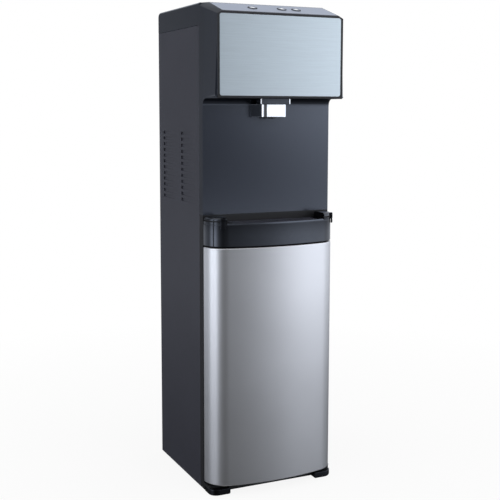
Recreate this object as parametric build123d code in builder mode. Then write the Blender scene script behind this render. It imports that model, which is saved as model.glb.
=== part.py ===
from build123d import *
import os
from math import atan2, cos, degrees, radians, sin, sqrt, tan

# A floor-standing water dispenser in millimetres: +Z up, front towards -Y, origin under the middle of its box

# Overall sizes
cabinet_width = 310.0
cabinet_depth = 280.0
head_projection = 70.0
overall_height = 1080.0

# Clearances
fit_gap = 0.2
running_gap = 0.5
pin_gap = 0.05

# Base and feet
foot_height = 14.0
foot_width = 46.0
foot_depth = 39.0
foot_corner = 20.0
foot_chamfer = 2.5
foot_side_inset = 2.0
foot_stem_radius = 4.0
foot_stem_length = 5.0
foot_stem_reach = 12.0
rear_foot_radius = 16.0
rear_foot_inset = 23.0
pad_radius = 10.0
pad_height = 6.5
plinth_clearance = 4.0
plinth_reach = 24.0
plinth_side_inset = 1.5
plinth_corner = 8.0
plinth_wall = 3.0

# Sheet-metal panels
sheet = 1.0
flange = 12.0
panel_drop = 15.0
cover_overhang = 2.0
column_depth = 20.0
cover_height = 48.0
cover_wall = 2.5
cover_back_radius = 12.0
cover_side_radius = 4.0
louvre_length = 86.0
louvre_pitch = 14.0
louvre_rows = 12
louvre_opening = 9.0
louvre_press = 4.5
louvre_rise = 14.0
louvre_front_back_edge = 130.0
louvre_rear_back_edge = 247.0

# Rear panel, a shallow pan that holds the condenser
rear_recess = 11.0
rear_lip = 10.0
rear_pan_gap = 1.0
rear_screw_radius = 2.0
rear_screw_head_radius = 3.5
rear_screw_head = 1.8
rear_screw_length = 8.0
rear_screw_edge = 42.0
rear_screw_count = 4

# Head and niche moulding
head_height = 204.0
niche_height = 252.0
head_taper = 5.4
strip_setback = 5.0
strip_drop = 24.0
moulding_wall = 3.0
head_fillet = 16.0
head_edge_radius = 5.0
fascia_border = 5.0
fascia_radius = 5.5
fascia_thickness = 1.0
fascia_sunk = 0.2
strip_border = 4.0
strip_side_border = 1.2
facet_width = 11.6
facet_fall = 6.0
strip_thickness = 1.5
strip_radius = 4.0

# Buttons and their board
button_radius = 10.5
button_pitch = 35.0
button_left_x = -52.5
button_proud = 1.2
button_travel = 2.0
button_flange = 2.0
button_flange_thickness = 1.5
button_edge_radius = 0.6
board_thickness = 1.6
board_gap = 11.0
board_width = 180.0
board_depth = 34.0
board_post_radius = 3.0
board_post_inset = 6.0
switch_size = 6.0
switch_cap_radius = 1.7

# Nozzle
nozzle_base_width = 72.0
nozzle_base_back = 17.0
nozzle_base_front = 43.0
nozzle_base_height = 12.0
nozzle_corner = 8.0
nozzle_collar_width = 44.0
nozzle_collar_depth = 14.0
nozzle_collar_height = 11.0
nozzle_block_front_width = 54.0
nozzle_block_back_width = 84.0
nozzle_block_front = 39.0
nozzle_block_height = 28.0
nozzle_front_radius = 7.0
nozzle_back_gap = 0.8
spout_reach = 20.0
spout_radius = 9.0
spout_depth = 12.0
spout_proud = 3.0
spout_bore = 2.5
spout_pitch = 9.0

# Bowed front of the door and the tray band
bow_reach = 65.0
bow_corner = 52.0
side_straight = 1.0

# Door
door_gap = 4.0
door_back = 3.0
bumper_gap = 0.3
door_skin = 1.5
door_liner_wall = 2.0
door_recess = 12.0
door_recess_border = 16.0
door_hinge_inset = 7.0
door_hinge_reach = 10.0
hinge_pin_radius = 3.0
hinge_pin_depth = 18.0
hinge_block_front = 22.0
hinge_block_height = 26.0
hinge_plate = 2.5
hinge_plate_width = 26.0
hinge_plate_front = 20.0
hinge_screw_head_radius = 3.0
hinge_screw_pitch = 12.0
bumper_radius = 4.0
bumper_edge = 25.0
catch_width = 8.0
catch_height = 50.0
catch_depth = 8.0
catch_z = 300.0

# Tray band, drip tray and grille
band_gap = 3.0
band_drop = 18.5
band_height = 47.5
band_inset = 0.4
band_wall = 7.0
band_floor = 4.0
band_hinge_end = 17.0
tray_wall = 2.0
tray_drop = 43.0
tray_rim = 3.5
tray_rim_inset = 0.8
tray_end = 55.0
ledge_width = 3.0
grille_thickness = 3.4
grille_border = 7.0
grille_slot = 2.6
grille_pitch = 6.5
left_clip_turn = 62.0
right_clip_turn = 30.0
clip_width = 11.0
clip_thickness = 3.5
clip_drop = 8.5
clip_rise = 11.0
clip_bridge = 4.0
cap_width = 36.0
cap_height = 13.0
cap_rounding = 4.0

# Front frame and bottle bay
pillar_width = 16.0
header_overlap = 15.0
liner_side_gap = 15.0
liner_wall = 2.0
liner_back_gap = 0.5
liner_rise = 10.0
deck_thickness = 3.0
suction_side = 75.0
suction_y = 20.0
suction_radius = 6.0
suction_flange_radius = 14.0
suction_flange = 4.0
suction_drop = 8.0

# Refrigeration
port_run = 16.0
compressor_y = 85.0
compressor_radius = 55.0
compressor_height = 144.0
compressor_dome = 28.0
compressor_shell = 12.0
compressor_foot_length = 148.0
compressor_foot_width = 96.0
compressor_foot_plate = 3.0
compressor_port_radius = 4.0
compressor_port_length = 12.0
compressor_port_drop = 40.0
mount_radius = 9.0
mount_height = 10.0
mount_edge = 11.0
condenser_side_gap = 45.0
condenser_top_gap = 32.0
condenser_pitch = 32.0
condenser_passes = 11
condenser_tube_radius = 2.5
condenser_bend = 14.0
condenser_stand_off = 4.0
wire_radius = 0.8
wire_gap = 0.05
wire_pitch = 15.0
wire_overrun = 16.0
bracket_width = 10.0
bracket_height = 14.0
bracket_x = 52.5

# Tanks
shelf_rise = 187.0
shelf_thickness = 2.0
shelf_front_y = -60.0
shelf_side_gap = 7.0
shelf_leg = 12.0
cold_side_gap = 15.0
cold_right_x = 36.0
cold_y = 55.0
cold_height = 178.0
tank_wall = 0.8
cold_jacket_wall = 13.0
coil_room = 9.0
cold_jacket_floor = 20.0
cold_lid_thickness = 20.0
cold_lid_gap = 5.0
coil_radius = 3.5
coil_riser_radius = 2.5
coil_gap = 0.7
coil_turns = 8
coil_pitch = 15.0
coil_low = 18.0
hot_side_gap = 11.0
hot_left_x = 32.0
hot_y = 12.0
hot_height = 122.0
hot_jacket_wall = 6.0
hot_tank_gap = 5.0
hot_jacket_floor = 18.0
hot_jacket_height = 150.0
heater_thickness = 3.0
heater_height = 40.0
heater_low = 14.0
thermostat_radius = 8.0
thermostat_height = 9.0
thermostat_offset = 26.0

# Water path
pump_width = 60.0
pump_depth = 50.0
pump_height = 58.0
pump_foot = 10.0
pump_foot_radius = 6.0
pump_motor_radius = 18.0
pump_motor_length = 20.0
pump_corner = 6.0
valve_pitch = 50.0
valve_width = 26.0
valve_depth = 24.0
valve_height = 30.0
valve_drop = 67.0
valve_coil_radius = 13.0
valve_coil_length = 30.0
valve_bracket = 3.0
valve_bracket_margin = 12.0
pipe_radius = 4.0
pipe_bend = 12.0
pipe_hole_gap = 1.0
outlet_rise = 23.0
outlet_pitch = 14.0
cold_line_drop = 25.0
link_line_drop = 18.0
hot_line_rise = 48.0
hot_line_drop = 30.0
ambient_line_rise = 97.0
ambient_line_y = -55.0
link_x = -25.0
link_y = 40.0
drain_x = -40.0
drain_y = 95.0
drain_rise = 87.0

# Electrics and rear fittings
power_board_width = 76.0
power_board_depth = 74.0
power_board_side_gap = 17.0
power_board_y = 112.0
power_board_rise = 8.0
power_board_post_radius = 3.5
power_board_post_edge = 7.0
transformer_size = 32.0
transformer_height = 28.0
relay_size = 16.0
relay_height = 15.0
gland_side = 40.0
gland_rise = 62.0
gland_radius = 8.0
gland_bore = 4.0
gland_flange_radius = 11.0
gland_flange = 4.0
plug_radius = 9.0
plug_flange_radius = 12.0
plug_flange = 4.0
switch_side = 50.0
switch_rise = 62.0
switch_pitch = 26.0
switch_frame_width = 54.0
switch_frame_height = 26.0
switch_frame_plate = 2.0
switch_body_depth = 14.0
switch_body_border = 3.0
rocker_width = 19.0
rocker_radius = 6.5
rocker_tilt = 10.0
rocker_proud = 3.0

# Places worked out from the sizes above
half_width = cabinet_width / 2
back_y = (cabinet_depth + head_projection) / 2
niche_y = back_y - cabinet_depth
head_front_y = niche_y - head_projection
seam_y = niche_y + column_depth
panel_back_y = back_y - cover_overhang
rear_lip_y = panel_back_y - sheet
rear_web_y = rear_lip_y - rear_recess
rear_web_front_y = rear_web_y - sheet
base_top_z = foot_height + pad_height
panel_top_z = overall_height - cover_height
head_low_z = overall_height - head_height
slope_top_y = niche_y + strip_setback
slope_low_z = overall_height - strip_drop
slope_angle = atan2(strip_drop, head_projection + strip_setback)
slope_length = sqrt(strip_drop**2 + (head_projection + strip_setback) ** 2)
head_half_width = half_width - head_taper
facet_x = head_half_width - facet_width
facet_reach = facet_width + 2 * head_taper
niche_floor_z = head_low_z - niche_height
band_top_z = niche_floor_z - band_drop
band_low_z = band_top_z - band_height
tray_top_z = band_top_z + tray_rim
door_low_z = base_top_z + door_gap
door_top_z = band_low_z - band_gap
door_height = door_top_z - door_low_z
door_hinge_x = half_width - door_hinge_inset
header_z = door_top_z - header_overlap
liner_top_z = header_z + liner_rise
liner_half_width = half_width - liner_side_gap
suction_x = suction_side - half_width
liner_back_y = rear_web_front_y - liner_back_gap
deck_top_z = liner_top_z + deck_thickness
shelf_z = deck_top_z + shelf_rise
shelf_top_z = shelf_z + shelf_thickness
louvre_low_z = niche_floor_z + louvre_rise
compressor_x = half_width - flange - port_run - compressor_port_length - compressor_radius
condenser_half_width = half_width - condenser_side_gap
condenser_top_z = panel_top_z - condenser_top_gap
cold_jacket_outer = (half_width - cold_side_gap + cold_right_x) / 2
cold_jacket_inner = cold_jacket_outer - cold_jacket_wall
cold_radius = cold_jacket_inner - coil_room
cold_x = cold_right_x - cold_jacket_outer
hot_jacket_outer = (half_width - hot_side_gap - hot_left_x) / 2
hot_jacket_inner = hot_jacket_outer - hot_jacket_wall
hot_radius = hot_jacket_inner - hot_tank_gap
hot_x = hot_left_x + hot_jacket_outer
valve_low_z = head_low_z - valve_drop
outlet_rise_z = head_low_z + outlet_rise
cold_line_z = shelf_z - cold_line_drop
link_line_z = shelf_z - link_line_drop
hot_line_low_z = valve_low_z - hot_line_drop
ambient_line_z = deck_top_z + ambient_line_rise
drain_z = deck_top_z + drain_rise
gland_x = half_width - gland_side
gland_z = deck_top_z + gland_rise
switch_x = switch_side - half_width
switch_z = deck_top_z + switch_rise
power_board_x = power_board_side_gap + power_board_width / 2 - half_width
corner_x = half_width - bow_corner
corner_y = niche_y - side_straight
bow_depth = bow_reach - side_straight
bow_radius = (corner_x**2 + bow_depth**2 - bow_corner**2) / (2 * (bow_depth - bow_corner))
bow_turn = degrees(atan2(bow_radius - bow_depth, corner_x))
button_xs = {
    "left_button": button_left_x,
    "middle_button": button_left_x + 2 * button_pitch,
    "right_button": button_left_x + 3 * button_pitch,
}
slope_plane = Plane(
    origin=(0, (head_front_y + slope_top_y) / 2, (slope_low_z + overall_height) / 2),
    x_dir=(1, 0, 0),
    z_dir=(0, -sin(slope_angle), cos(slope_angle)),
)
slope_end_plane = Plane(
    origin=(0, slope_top_y, overall_height),
    x_dir=(1, 0, 0),
    z_dir=(0, -cos(slope_angle), -sin(slope_angle)),
)


def ahead(reach):
    """The Y of a place that lies reach in front of the niche plane."""
    return niche_y - reach


def block(low, high, mode=Mode.ADD):
    """A box between two opposite corners, added to or cut from the open part."""
    size = [b - a for a, b in zip(low, high)]
    middle = tuple((a + b) / 2 for a, b in zip(low, high))
    with Locations(middle):
        Box(*size, mode=mode)


def post(x, y, low_z, high_z, radius, mode=Mode.ADD):
    """An upright round post, or the hole for one."""
    with Locations((x, y, (low_z + high_z) / 2)):
        Cylinder(radius, high_z - low_z, mode=mode)


def spindle(x, z, front_y, rear_y, radius, mode=Mode.ADD):
    """A round bar along Y, or the hole for one."""
    with Locations(Location((x, (front_y + rear_y) / 2, z), (90, 0, 0))):
        Cylinder(radius, rear_y - front_y, mode=mode)


def pipe(points, radius, bend):
    """A round pipe along straight runs joined by tangent arcs."""
    with BuildLine() as route:
        if len(points) > 2:
            FilletPolyline(*points, radius=bend)
        else:
            Line(*points)
    with BuildSketch(Plane(origin=route.line @ 0, z_dir=route.line % 0)) as section:
        Circle(radius)
    sweep(section.sketch, path=route.line)


def front_outline(inset, back):
    """The bowed plan shape of door and band in the open sketch, inset all round, from back forwards."""
    side_x = half_width - inset
    corner = bow_corner - inset
    with BuildLine() as outline:
        Line((side_x, ahead(back)), (side_x, corner_y))
        CenterArc((corner_x, corner_y), corner, 0, -bow_turn)
        CenterArc((0, ahead(bow_reach) + bow_radius), bow_radius - inset, -bow_turn, 2 * bow_turn - 180)
        CenterArc((-corner_x, corner_y), corner, bow_turn - 180, -bow_turn)
        Line((-side_x, corner_y), (-side_x, ahead(back)))
        Line((-side_x, ahead(back)), (side_x, ahead(back)))
    make_face(outline.edges())


def keep_between(low_x, high_x, low_reach, high_reach):
    """Keeps only that stretch of the open plan sketch."""
    with Locations(((low_x + high_x) / 2, ahead((low_reach + high_reach) / 2))):
        Rectangle(high_x - low_x, high_reach - low_reach, mode=Mode.INTERSECT)


def swing_relief(inset):
    """Rounds the hinged rear corner of the open plan sketch about the hinge, so that it swings clear."""
    radius = door_hinge_reach - running_gap - inset
    hinge_y = ahead(door_hinge_reach)
    with BuildLine() as corner:
        CenterArc((door_hinge_x, hinge_y), radius, 0, 90)
        Polyline(
            (door_hinge_x, hinge_y + radius),
            (door_hinge_x + radius, hinge_y + radius),
            (door_hinge_x + radius, hinge_y),
        )
    make_face(corner.edges(), mode=Mode.SUBTRACT)


def head_profile(wall, front_wall, slope_wall, back):
    """Side view of the head and niche in the open sketch, behind walls of the given thickness."""
    front = head_front_y + front_wall
    slope_shift = slope_wall / cos(slope_angle)
    slope_front_z = slope_low_z + front_wall * tan(slope_angle) - slope_shift
    slope_back_y = head_front_y + (strip_drop - wall + slope_shift) / tan(slope_angle)
    arc_y = niche_y - head_fillet
    with BuildLine() as outline:
        Polyline(
            (arc_y, head_low_z + wall),
            (front, head_low_z + wall),
            (front, slope_front_z),
            (slope_back_y, overall_height - wall),
            (back, overall_height - wall),
            (back, niche_floor_z + wall),
            (niche_y + wall, niche_floor_z + wall),
            (niche_y + wall, head_low_z - head_fillet),
        )
        CenterArc((arc_y, head_low_z - head_fillet), head_fillet + wall, 0, 90)
    make_face(outline.edges())


def facet_outline(wall):
    """What lies above the two facets beside the slope, in the open sketch, from wall under them."""
    for side in (-1, 1):
        with BuildLine() as outline:
            Polyline(
                (side * facet_x, -wall),
                (side * (facet_x + facet_reach), -wall - facet_fall * facet_reach / facet_width),
                (side * (facet_x + facet_reach), facet_reach),
                (side * facet_x, facet_reach),
                close=True,
            )
        make_face(outline.edges())


def head_plan(wall, back):
    """Plan of the head in the open sketch: straight sides to the niche plane, then a slight taper."""
    side = half_width - wall
    front = head_half_width - wall
    with BuildLine() as outline:
        Polyline(
            (side, back),
            (side, niche_y),
            (front, head_front_y),
            (-front, head_front_y),
            (-side, niche_y),
            (-side, back),
            close=True,
        )
    make_face(outline.edges())


def base_plan(inset):
    """Plan of the base pan in the open sketch, its front corners rounded."""
    front = ahead(plinth_reach) + inset
    back = rear_lip_y - inset
    half = half_width - plinth_side_inset - inset
    corner = plinth_corner - inset
    with BuildLine() as outline:
        Line((half, back), (half, front + corner))
        CenterArc((half - corner, front + corner), corner, 0, -90)
        Line((half - corner, front), (corner - half, front))
        CenterArc((corner - half, front + corner), corner, -90, -90)
        Polyline((-half, front + corner), (-half, back), (half, back))
    make_face(outline.edges())


def save(piece, name):
    """Labels a finished piece and writes it as one STEP file."""
    piece.part.label = name
    export_step(piece.part, f"parts/{name}.step")


os.makedirs("parts", exist_ok=True)

# Base pan: a plinth open underneath, notched at the front feet, with a pad over each foot
front_foot_x = half_width - foot_side_inset - foot_width / 2
rear_foot_x = half_width - rear_foot_inset
rear_foot_y = rear_lip_y - rear_foot_inset
stem_places = [(side * front_foot_x, ahead(foot_stem_reach)) for side in (-1, 1)]
stem_places += [(side * rear_foot_x, rear_foot_y) for side in (-1, 1)]
with BuildPart() as base_pan:
    with BuildSketch(Plane.XY.offset(plinth_clearance)):
        base_plan(0)
    extrude(amount=base_top_z - plinth_clearance)
    with BuildSketch(Plane.XY.offset(plinth_clearance)):
        base_plan(plinth_wall)
    extrude(amount=base_top_z - plinth_wall - plinth_clearance, mode=Mode.SUBTRACT)
    for side in (-1, 1):
        notch_ends = [side * (front_foot_x - foot_width / 2 - fit_gap), side * half_width]
        block(
            (min(notch_ends), ahead(foot_depth), plinth_clearance),
            (max(notch_ends), niche_y + fit_gap, foot_height),
            Mode.SUBTRACT,
        )
    for x, y in stem_places:
        post(x, y, foot_height, base_top_z, pad_radius)
    for x, y in stem_places:
        stem_top_z = foot_height + foot_stem_length + fit_gap
        post(x, y, foot_height, stem_top_z, foot_stem_radius + fit_gap, Mode.SUBTRACT)
save(base_pan, "base_pan")

# Front feet: corner blocks with the outer front corner rounded
with BuildPart() as front_feet:
    for side in (-1, 1):
        foot_x = side * front_foot_x
        with BuildSketch(Plane.XY) as foot_plan:
            with Locations((foot_x, ahead(foot_depth / 2))):
                Rectangle(foot_width, foot_depth)
            outer_corner = foot_plan.vertices().sort_by_distance((2 * foot_x, 2 * ahead(foot_depth)))[0]
            fillet(outer_corner, foot_corner)
        extrude(amount=foot_height)
    chamfer(front_feet.faces().filter_by(Axis.Z).group_by(Axis.Z)[0].edges(), foot_chamfer)
    for x, y in stem_places[:2]:
        post(x, y, foot_height, foot_height + foot_stem_length, foot_stem_radius)
save(front_feet, "front_feet")

# Rear feet: round pads
with BuildPart() as rear_feet:
    for x, y in stem_places[2:]:
        post(x, y, 0, foot_height, rear_foot_radius)
    chamfer(rear_feet.faces().filter_by(Axis.Z).group_by(Axis.Z)[0].edges(), foot_chamfer)
    for x, y in stem_places[2:]:
        post(x, y, foot_height, foot_height + foot_stem_length, foot_stem_radius)
save(rear_feet, "rear_feet")

# Side panels: folded sheet that hangs over the plinth, with two columns of louvres, each pressed inwards to an
# opening at its rear end
rear_screw_x = half_width - flange / 2 - sheet / 2
rear_screw_low_z = base_top_z + rear_screw_edge
rear_screw_step = (panel_top_z - rear_screw_edge - rear_screw_low_z) / (rear_screw_count - 1)
rear_screw_heights = [rear_screw_low_z + row * rear_screw_step for row in range(rear_screw_count)]
louvre_rows_z = [louvre_low_z + row * louvre_pitch for row in range(louvre_rows)]
louvre_backs = (niche_y + louvre_front_back_edge, niche_y + louvre_rear_back_edge)
with BuildPart() as left_side_panel:
    outer_x = -half_width
    inner_x = sheet - half_width
    flange_x = flange - half_width
    block((outer_x, seam_y, base_top_z - panel_drop), (inner_x, panel_back_y, panel_top_z))
    block((outer_x, seam_y, base_top_z), (flange_x, seam_y + sheet, panel_top_z))
    block((outer_x, rear_lip_y, base_top_z), (flange_x, panel_back_y, panel_top_z))
    block((outer_x, seam_y, panel_top_z - sheet), (flange_x, panel_back_y, panel_top_z))
    with BuildSketch(*[Plane.XY.offset(z - sheet) for z in louvre_rows_z]):
        for back in louvre_backs:
            with BuildLine():
                Polyline(
                    (inner_x, back - louvre_length),
                    (inner_x + louvre_press, back),
                    (inner_x, back),
                    close=True,
                )
            make_face()
    extrude(amount=louvre_opening + 2 * sheet)
    with BuildSketch(*[Plane.XY.offset(z) for z in louvre_rows_z]):
        for back in louvre_backs:
            with BuildLine():
                Polyline(
                    (outer_x, back - louvre_length),
                    (outer_x + louvre_press, back),
                    (outer_x, back),
                    close=True,
                )
            make_face()
    extrude(amount=louvre_opening, mode=Mode.SUBTRACT)
    for z in rear_screw_heights:
        spindle(-rear_screw_x, z, rear_lip_y, panel_back_y, rear_screw_radius + fit_gap, Mode.SUBTRACT)
save(left_side_panel, "left_side_panel")

with BuildPart() as right_side_panel:
    mirror(left_side_panel.part, about=Plane.YZ)
save(right_side_panel, "right_side_panel")

# Rear panel: a pan with a lip behind the side panels' flanges, and holes for the rear fittings
pan_half = half_width - sheet - rear_pan_gap
pan_low_z = base_top_z + rear_pan_gap
pan_high_z = panel_top_z - sheet - rear_pan_gap
with BuildPart() as rear_panel:
    block((-pan_half, rear_web_front_y, pan_low_z), (pan_half, rear_lip_y, pan_high_z))
    block(
        (sheet - pan_half, rear_web_y, pan_low_z + sheet),
        (pan_half - sheet, rear_lip_y - sheet, pan_high_z - sheet),
        Mode.SUBTRACT,
    )
    block(
        (rear_lip - pan_half, rear_lip_y - sheet, pan_low_z + rear_lip),
        (pan_half - rear_lip, rear_lip_y, pan_high_z - rear_lip),
        Mode.SUBTRACT,
    )
    for side in (-1, 1):
        for z in rear_screw_heights:
            hole_x = side * rear_screw_x
            spindle(hole_x, z, rear_lip_y - sheet, rear_lip_y, rear_screw_radius + fit_gap, Mode.SUBTRACT)
    spindle(gland_x, gland_z, rear_web_front_y, rear_web_y, gland_radius + fit_gap, Mode.SUBTRACT)
    spindle(drain_x, drain_z, rear_web_front_y, rear_web_y, plug_radius + fit_gap, Mode.SUBTRACT)
    cut_half_width = switch_frame_width / 2 - switch_body_border + fit_gap
    cut_half_height = switch_frame_height / 2 - switch_body_border + fit_gap
    block(
        (switch_x - cut_half_width, rear_web_front_y, switch_z - cut_half_height),
        (switch_x + cut_half_width, rear_web_y, switch_z + cut_half_height),
        Mode.SUBTRACT,
    )
    spindle(
        condenser_half_width + pipe_bend,
        condenser_top_z,
        rear_web_front_y,
        rear_web_y,
        condenser_tube_radius + pipe_hole_gap,
        Mode.SUBTRACT,
    )
save(rear_panel, "rear_panel")

# Rear screws: pan heads on the flanges, shanks through flange and lip
with BuildPart() as rear_screws:
    for side in (-1, 1):
        for z in rear_screw_heights:
            x = side * rear_screw_x
            spindle(x, z, panel_back_y, panel_back_y + rear_screw_head, rear_screw_head_radius)
            spindle(x, z, panel_back_y - rear_screw_length, panel_back_y, rear_screw_radius)
save(rear_screws, "rear_screws")

# Top cover: a shell behind the head, rounded at the back
cover_arc_center = (back_y - cover_back_radius, overall_height - cover_back_radius)
with BuildPart() as top_cover:
    with BuildSketch(Plane.YZ):
        with BuildLine():
            Polyline(
                (back_y - cover_back_radius, overall_height),
                (seam_y, overall_height),
                (seam_y, panel_top_z),
                (back_y, panel_top_z),
                (back_y, overall_height - cover_back_radius),
            )
            CenterArc(cover_arc_center, cover_back_radius, 0, 90)
        make_face()
    extrude(amount=half_width, both=True)
    side_edges = top_cover.edges().filter_by(Axis.Y).group_by(Axis.Z)[-1]
    fillet(side_edges, cover_side_radius)
    inner_radius = cover_back_radius - cover_wall
    with BuildSketch(Plane.YZ):
        with BuildLine():
            Polyline(
                (back_y - cover_back_radius, overall_height - cover_wall),
                (seam_y, overall_height - cover_wall),
                (seam_y, panel_top_z),
                (back_y - cover_wall, panel_top_z),
                (back_y - cover_wall, overall_height - cover_back_radius),
            )
            CenterArc(cover_arc_center, inner_radius, 0, 90)
        make_face()
    extrude(amount=half_width - cover_wall, both=True, mode=Mode.SUBTRACT)
save(top_cover, "top_cover")

# Front moulding: head and niche in one thin-walled piece, open at the back
fascia_recess = fascia_thickness + fascia_sunk
fascia_half = head_half_width - fascia_border
fascia_low_z = head_low_z + fascia_border
fascia_high_z = slope_low_z - fascia_border
fascia_mid_z = (fascia_low_z + fascia_high_z) / 2
strip_width = 2 * (facet_x - strip_side_border)
strip_depth = slope_length - 2 * strip_border
slope_wall = moulding_wall + strip_thickness
board_places = [
    (x * (board_width / 2 - board_post_inset), y * (board_depth / 2 - board_post_inset))
    for x in (-1, 1)
    for y in (-1, 1)
]
collar_reach = (nozzle_base_back + nozzle_base_front) / 2
with BuildPart() as head_room:
    with BuildSketch(Plane.YZ):
        head_profile(moulding_wall, moulding_wall + fascia_recess, slope_wall, seam_y)
    extrude(amount=half_width - moulding_wall - head_taper, both=True)
    with BuildSketch(slope_end_plane.offset(-slope_wall)):
        facet_outline(slope_wall)
    extrude(amount=slope_length + facet_reach, mode=Mode.SUBTRACT)
with BuildPart() as front_moulding:
    with BuildSketch(Plane.YZ):
        head_profile(0, 0, 0, seam_y)
    extrude(amount=half_width, both=True)
    with BuildSketch(Plane.XY.offset(niche_floor_z)):
        head_plan(0, seam_y)
    extrude(amount=overall_height - niche_floor_z, mode=Mode.INTERSECT)
    low_edges = front_moulding.edges().filter_by_position(Axis.Z, niche_floor_z + 1, head_low_z)
    fillet(low_edges.filter_by(Axis.Z).sort_by(Axis.Y)[0:2], head_edge_radius)
    high_edges = front_moulding.edges().filter_by_position(Axis.Z, slope_low_z, overall_height)
    fillet(high_edges.filter_by(lambda edge: abs(edge.tangent_at(0.5).X) < 0.1), strip_border)
    with BuildSketch(slope_end_plane):
        facet_outline(0)
    extrude(amount=slope_length + facet_reach, mode=Mode.SUBTRACT)
    add(head_room.part, mode=Mode.SUBTRACT)
    with BuildSketch(Plane.XZ.offset(-head_front_y)):
        with Locations((0, fascia_mid_z)):
            RectangleRounded(2 * fascia_half, fascia_high_z - fascia_low_z, fascia_radius)
    extrude(amount=-fascia_recess, mode=Mode.SUBTRACT)
    with BuildSketch(slope_plane):
        RectangleRounded(strip_width, strip_depth, strip_radius)
    extrude(amount=-strip_thickness, mode=Mode.SUBTRACT)
    with BuildSketch(slope_plane):
        with Locations(*[(x, 0) for x in button_xs.values()]):
            Circle(button_radius + running_gap)
    extrude(amount=-slope_wall, mode=Mode.SUBTRACT)
    with BuildSketch(slope_plane.offset(-slope_wall)):
        with Locations(*board_places):
            Circle(board_post_radius)
    extrude(amount=-board_gap)
    with BuildSketch(Plane.XY.offset(head_low_z)):
        with Locations((0, ahead(collar_reach))):
            Rectangle(nozzle_collar_width + 2 * fit_gap, nozzle_collar_depth + 2 * fit_gap)
    extrude(amount=moulding_wall, mode=Mode.SUBTRACT)
save(front_moulding, "front_moulding")

# Steel fascia, let into the front of the head
with BuildPart() as steel_fascia:
    with BuildSketch(Plane.XZ.offset(-head_front_y - fascia_sunk)):
        with Locations((0, fascia_mid_z)):
            RectangleRounded(
                2 * (fascia_half - fit_gap),
                fascia_high_z - fascia_low_z - 2 * fit_gap,
                fascia_radius - fit_gap,
            )
    extrude(amount=-fascia_thickness)
save(steel_fascia, "steel_fascia")

# Control strip, let into the slope
with BuildPart() as control_strip:
    with BuildSketch(slope_plane):
        RectangleRounded(strip_width - 2 * fit_gap, strip_depth - 2 * fit_gap, strip_radius - fit_gap)
        with Locations(*[(x, 0) for x in button_xs.values()]):
            Circle(button_radius + running_gap, mode=Mode.SUBTRACT)
    extrude(amount=-strip_thickness)
save(control_strip, "control_strip")

# Buttons: a cap with a retaining flange under the slope's wall
flange_top = slope_wall + fit_gap
for button_name, button_x in button_xs.items():
    with BuildPart() as button:
        with BuildSketch(slope_plane.offset(button_proud)):
            with Locations((button_x, 0)):
                Circle(button_radius)
        extrude(amount=-(button_proud + flange_top + button_flange_thickness))
        cap_face = button.faces().sort_by(Axis.Z)[-1]
        fillet(cap_face.edges(), button_edge_radius)
        with BuildSketch(slope_plane.offset(-flange_top)):
            with Locations((button_x, 0)):
                Circle(button_radius + button_flange)
        extrude(amount=-button_flange_thickness)
    save(button, button_name)

# Button board under the slope, on the moulding's posts, and one switch under each button
board_top = slope_wall + board_gap
switch_top = flange_top + button_flange_thickness + button_travel + fit_gap
with BuildPart() as button_board:
    with BuildSketch(slope_plane.offset(-board_top)):
        Rectangle(board_width, board_depth)
    extrude(amount=-board_thickness)
save(button_board, "button_board")

with BuildPart() as button_switches:
    with BuildSketch(slope_plane.offset(-board_top)):
        with Locations(*[(x, 0) for x in button_xs.values()]):
            Rectangle(switch_size, switch_size)
    extrude(amount=(board_top - switch_top) / 2)
    with BuildSketch(slope_plane.offset(-board_top)):
        with Locations(*[(x, 0) for x in button_xs.values()]):
            Circle(switch_cap_radius)
    extrude(amount=board_top - switch_top)
save(button_switches, "button_switches")

# Nozzle base under the head, with a collar up through its underside
nozzle_base_low_z = head_low_z - nozzle_base_height
with BuildPart() as nozzle_base:
    with BuildSketch(Plane.XY.offset(nozzle_base_low_z)):
        with Locations((0, ahead(collar_reach))):
            RectangleRounded(nozzle_base_width, nozzle_base_front - nozzle_base_back, nozzle_corner)
    extrude(amount=nozzle_base_height)
    with BuildSketch(Plane.XY.offset(head_low_z)):
        with Locations((0, ahead(collar_reach))):
            Rectangle(nozzle_collar_width, nozzle_collar_depth)
    extrude(amount=nozzle_collar_height)
save(nozzle_base, "nozzle_base")

# Nozzle block: wedge-shaped in plan, wider at the niche, with a socket for the spout
nozzle_low_z = nozzle_base_low_z - nozzle_block_height
with BuildPart() as nozzle_block:
    with BuildSketch(Plane.XY.offset(nozzle_low_z)) as nozzle_plan:
        with BuildLine():
            Polyline(
                (nozzle_block_back_width / 2, ahead(nozzle_back_gap)),
                (nozzle_block_front_width / 2, ahead(nozzle_block_front)),
                (-nozzle_block_front_width / 2, ahead(nozzle_block_front)),
                (-nozzle_block_back_width / 2, ahead(nozzle_back_gap)),
                close=True,
            )
        make_face()
        fillet(nozzle_plan.vertices().group_by(Axis.Y)[0], nozzle_front_radius)
    extrude(amount=nozzle_block_height)
    post(0, ahead(spout_reach), nozzle_low_z, nozzle_low_z + spout_depth, spout_radius, Mode.SUBTRACT)
save(nozzle_block, "nozzle_block")

spout_low_z = nozzle_low_z - spout_proud
spout_top_z = nozzle_low_z + spout_depth
with BuildPart() as spout_insert:
    post(0, ahead(spout_reach), spout_low_z, spout_top_z, spout_radius - fit_gap)
    for side in (-1, 1):
        bore_x = side * spout_pitch / 2
        post(bore_x, ahead(spout_reach), spout_low_z, spout_top_z, spout_bore, Mode.SUBTRACT)
save(spout_insert, "spout_insert")

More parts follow.
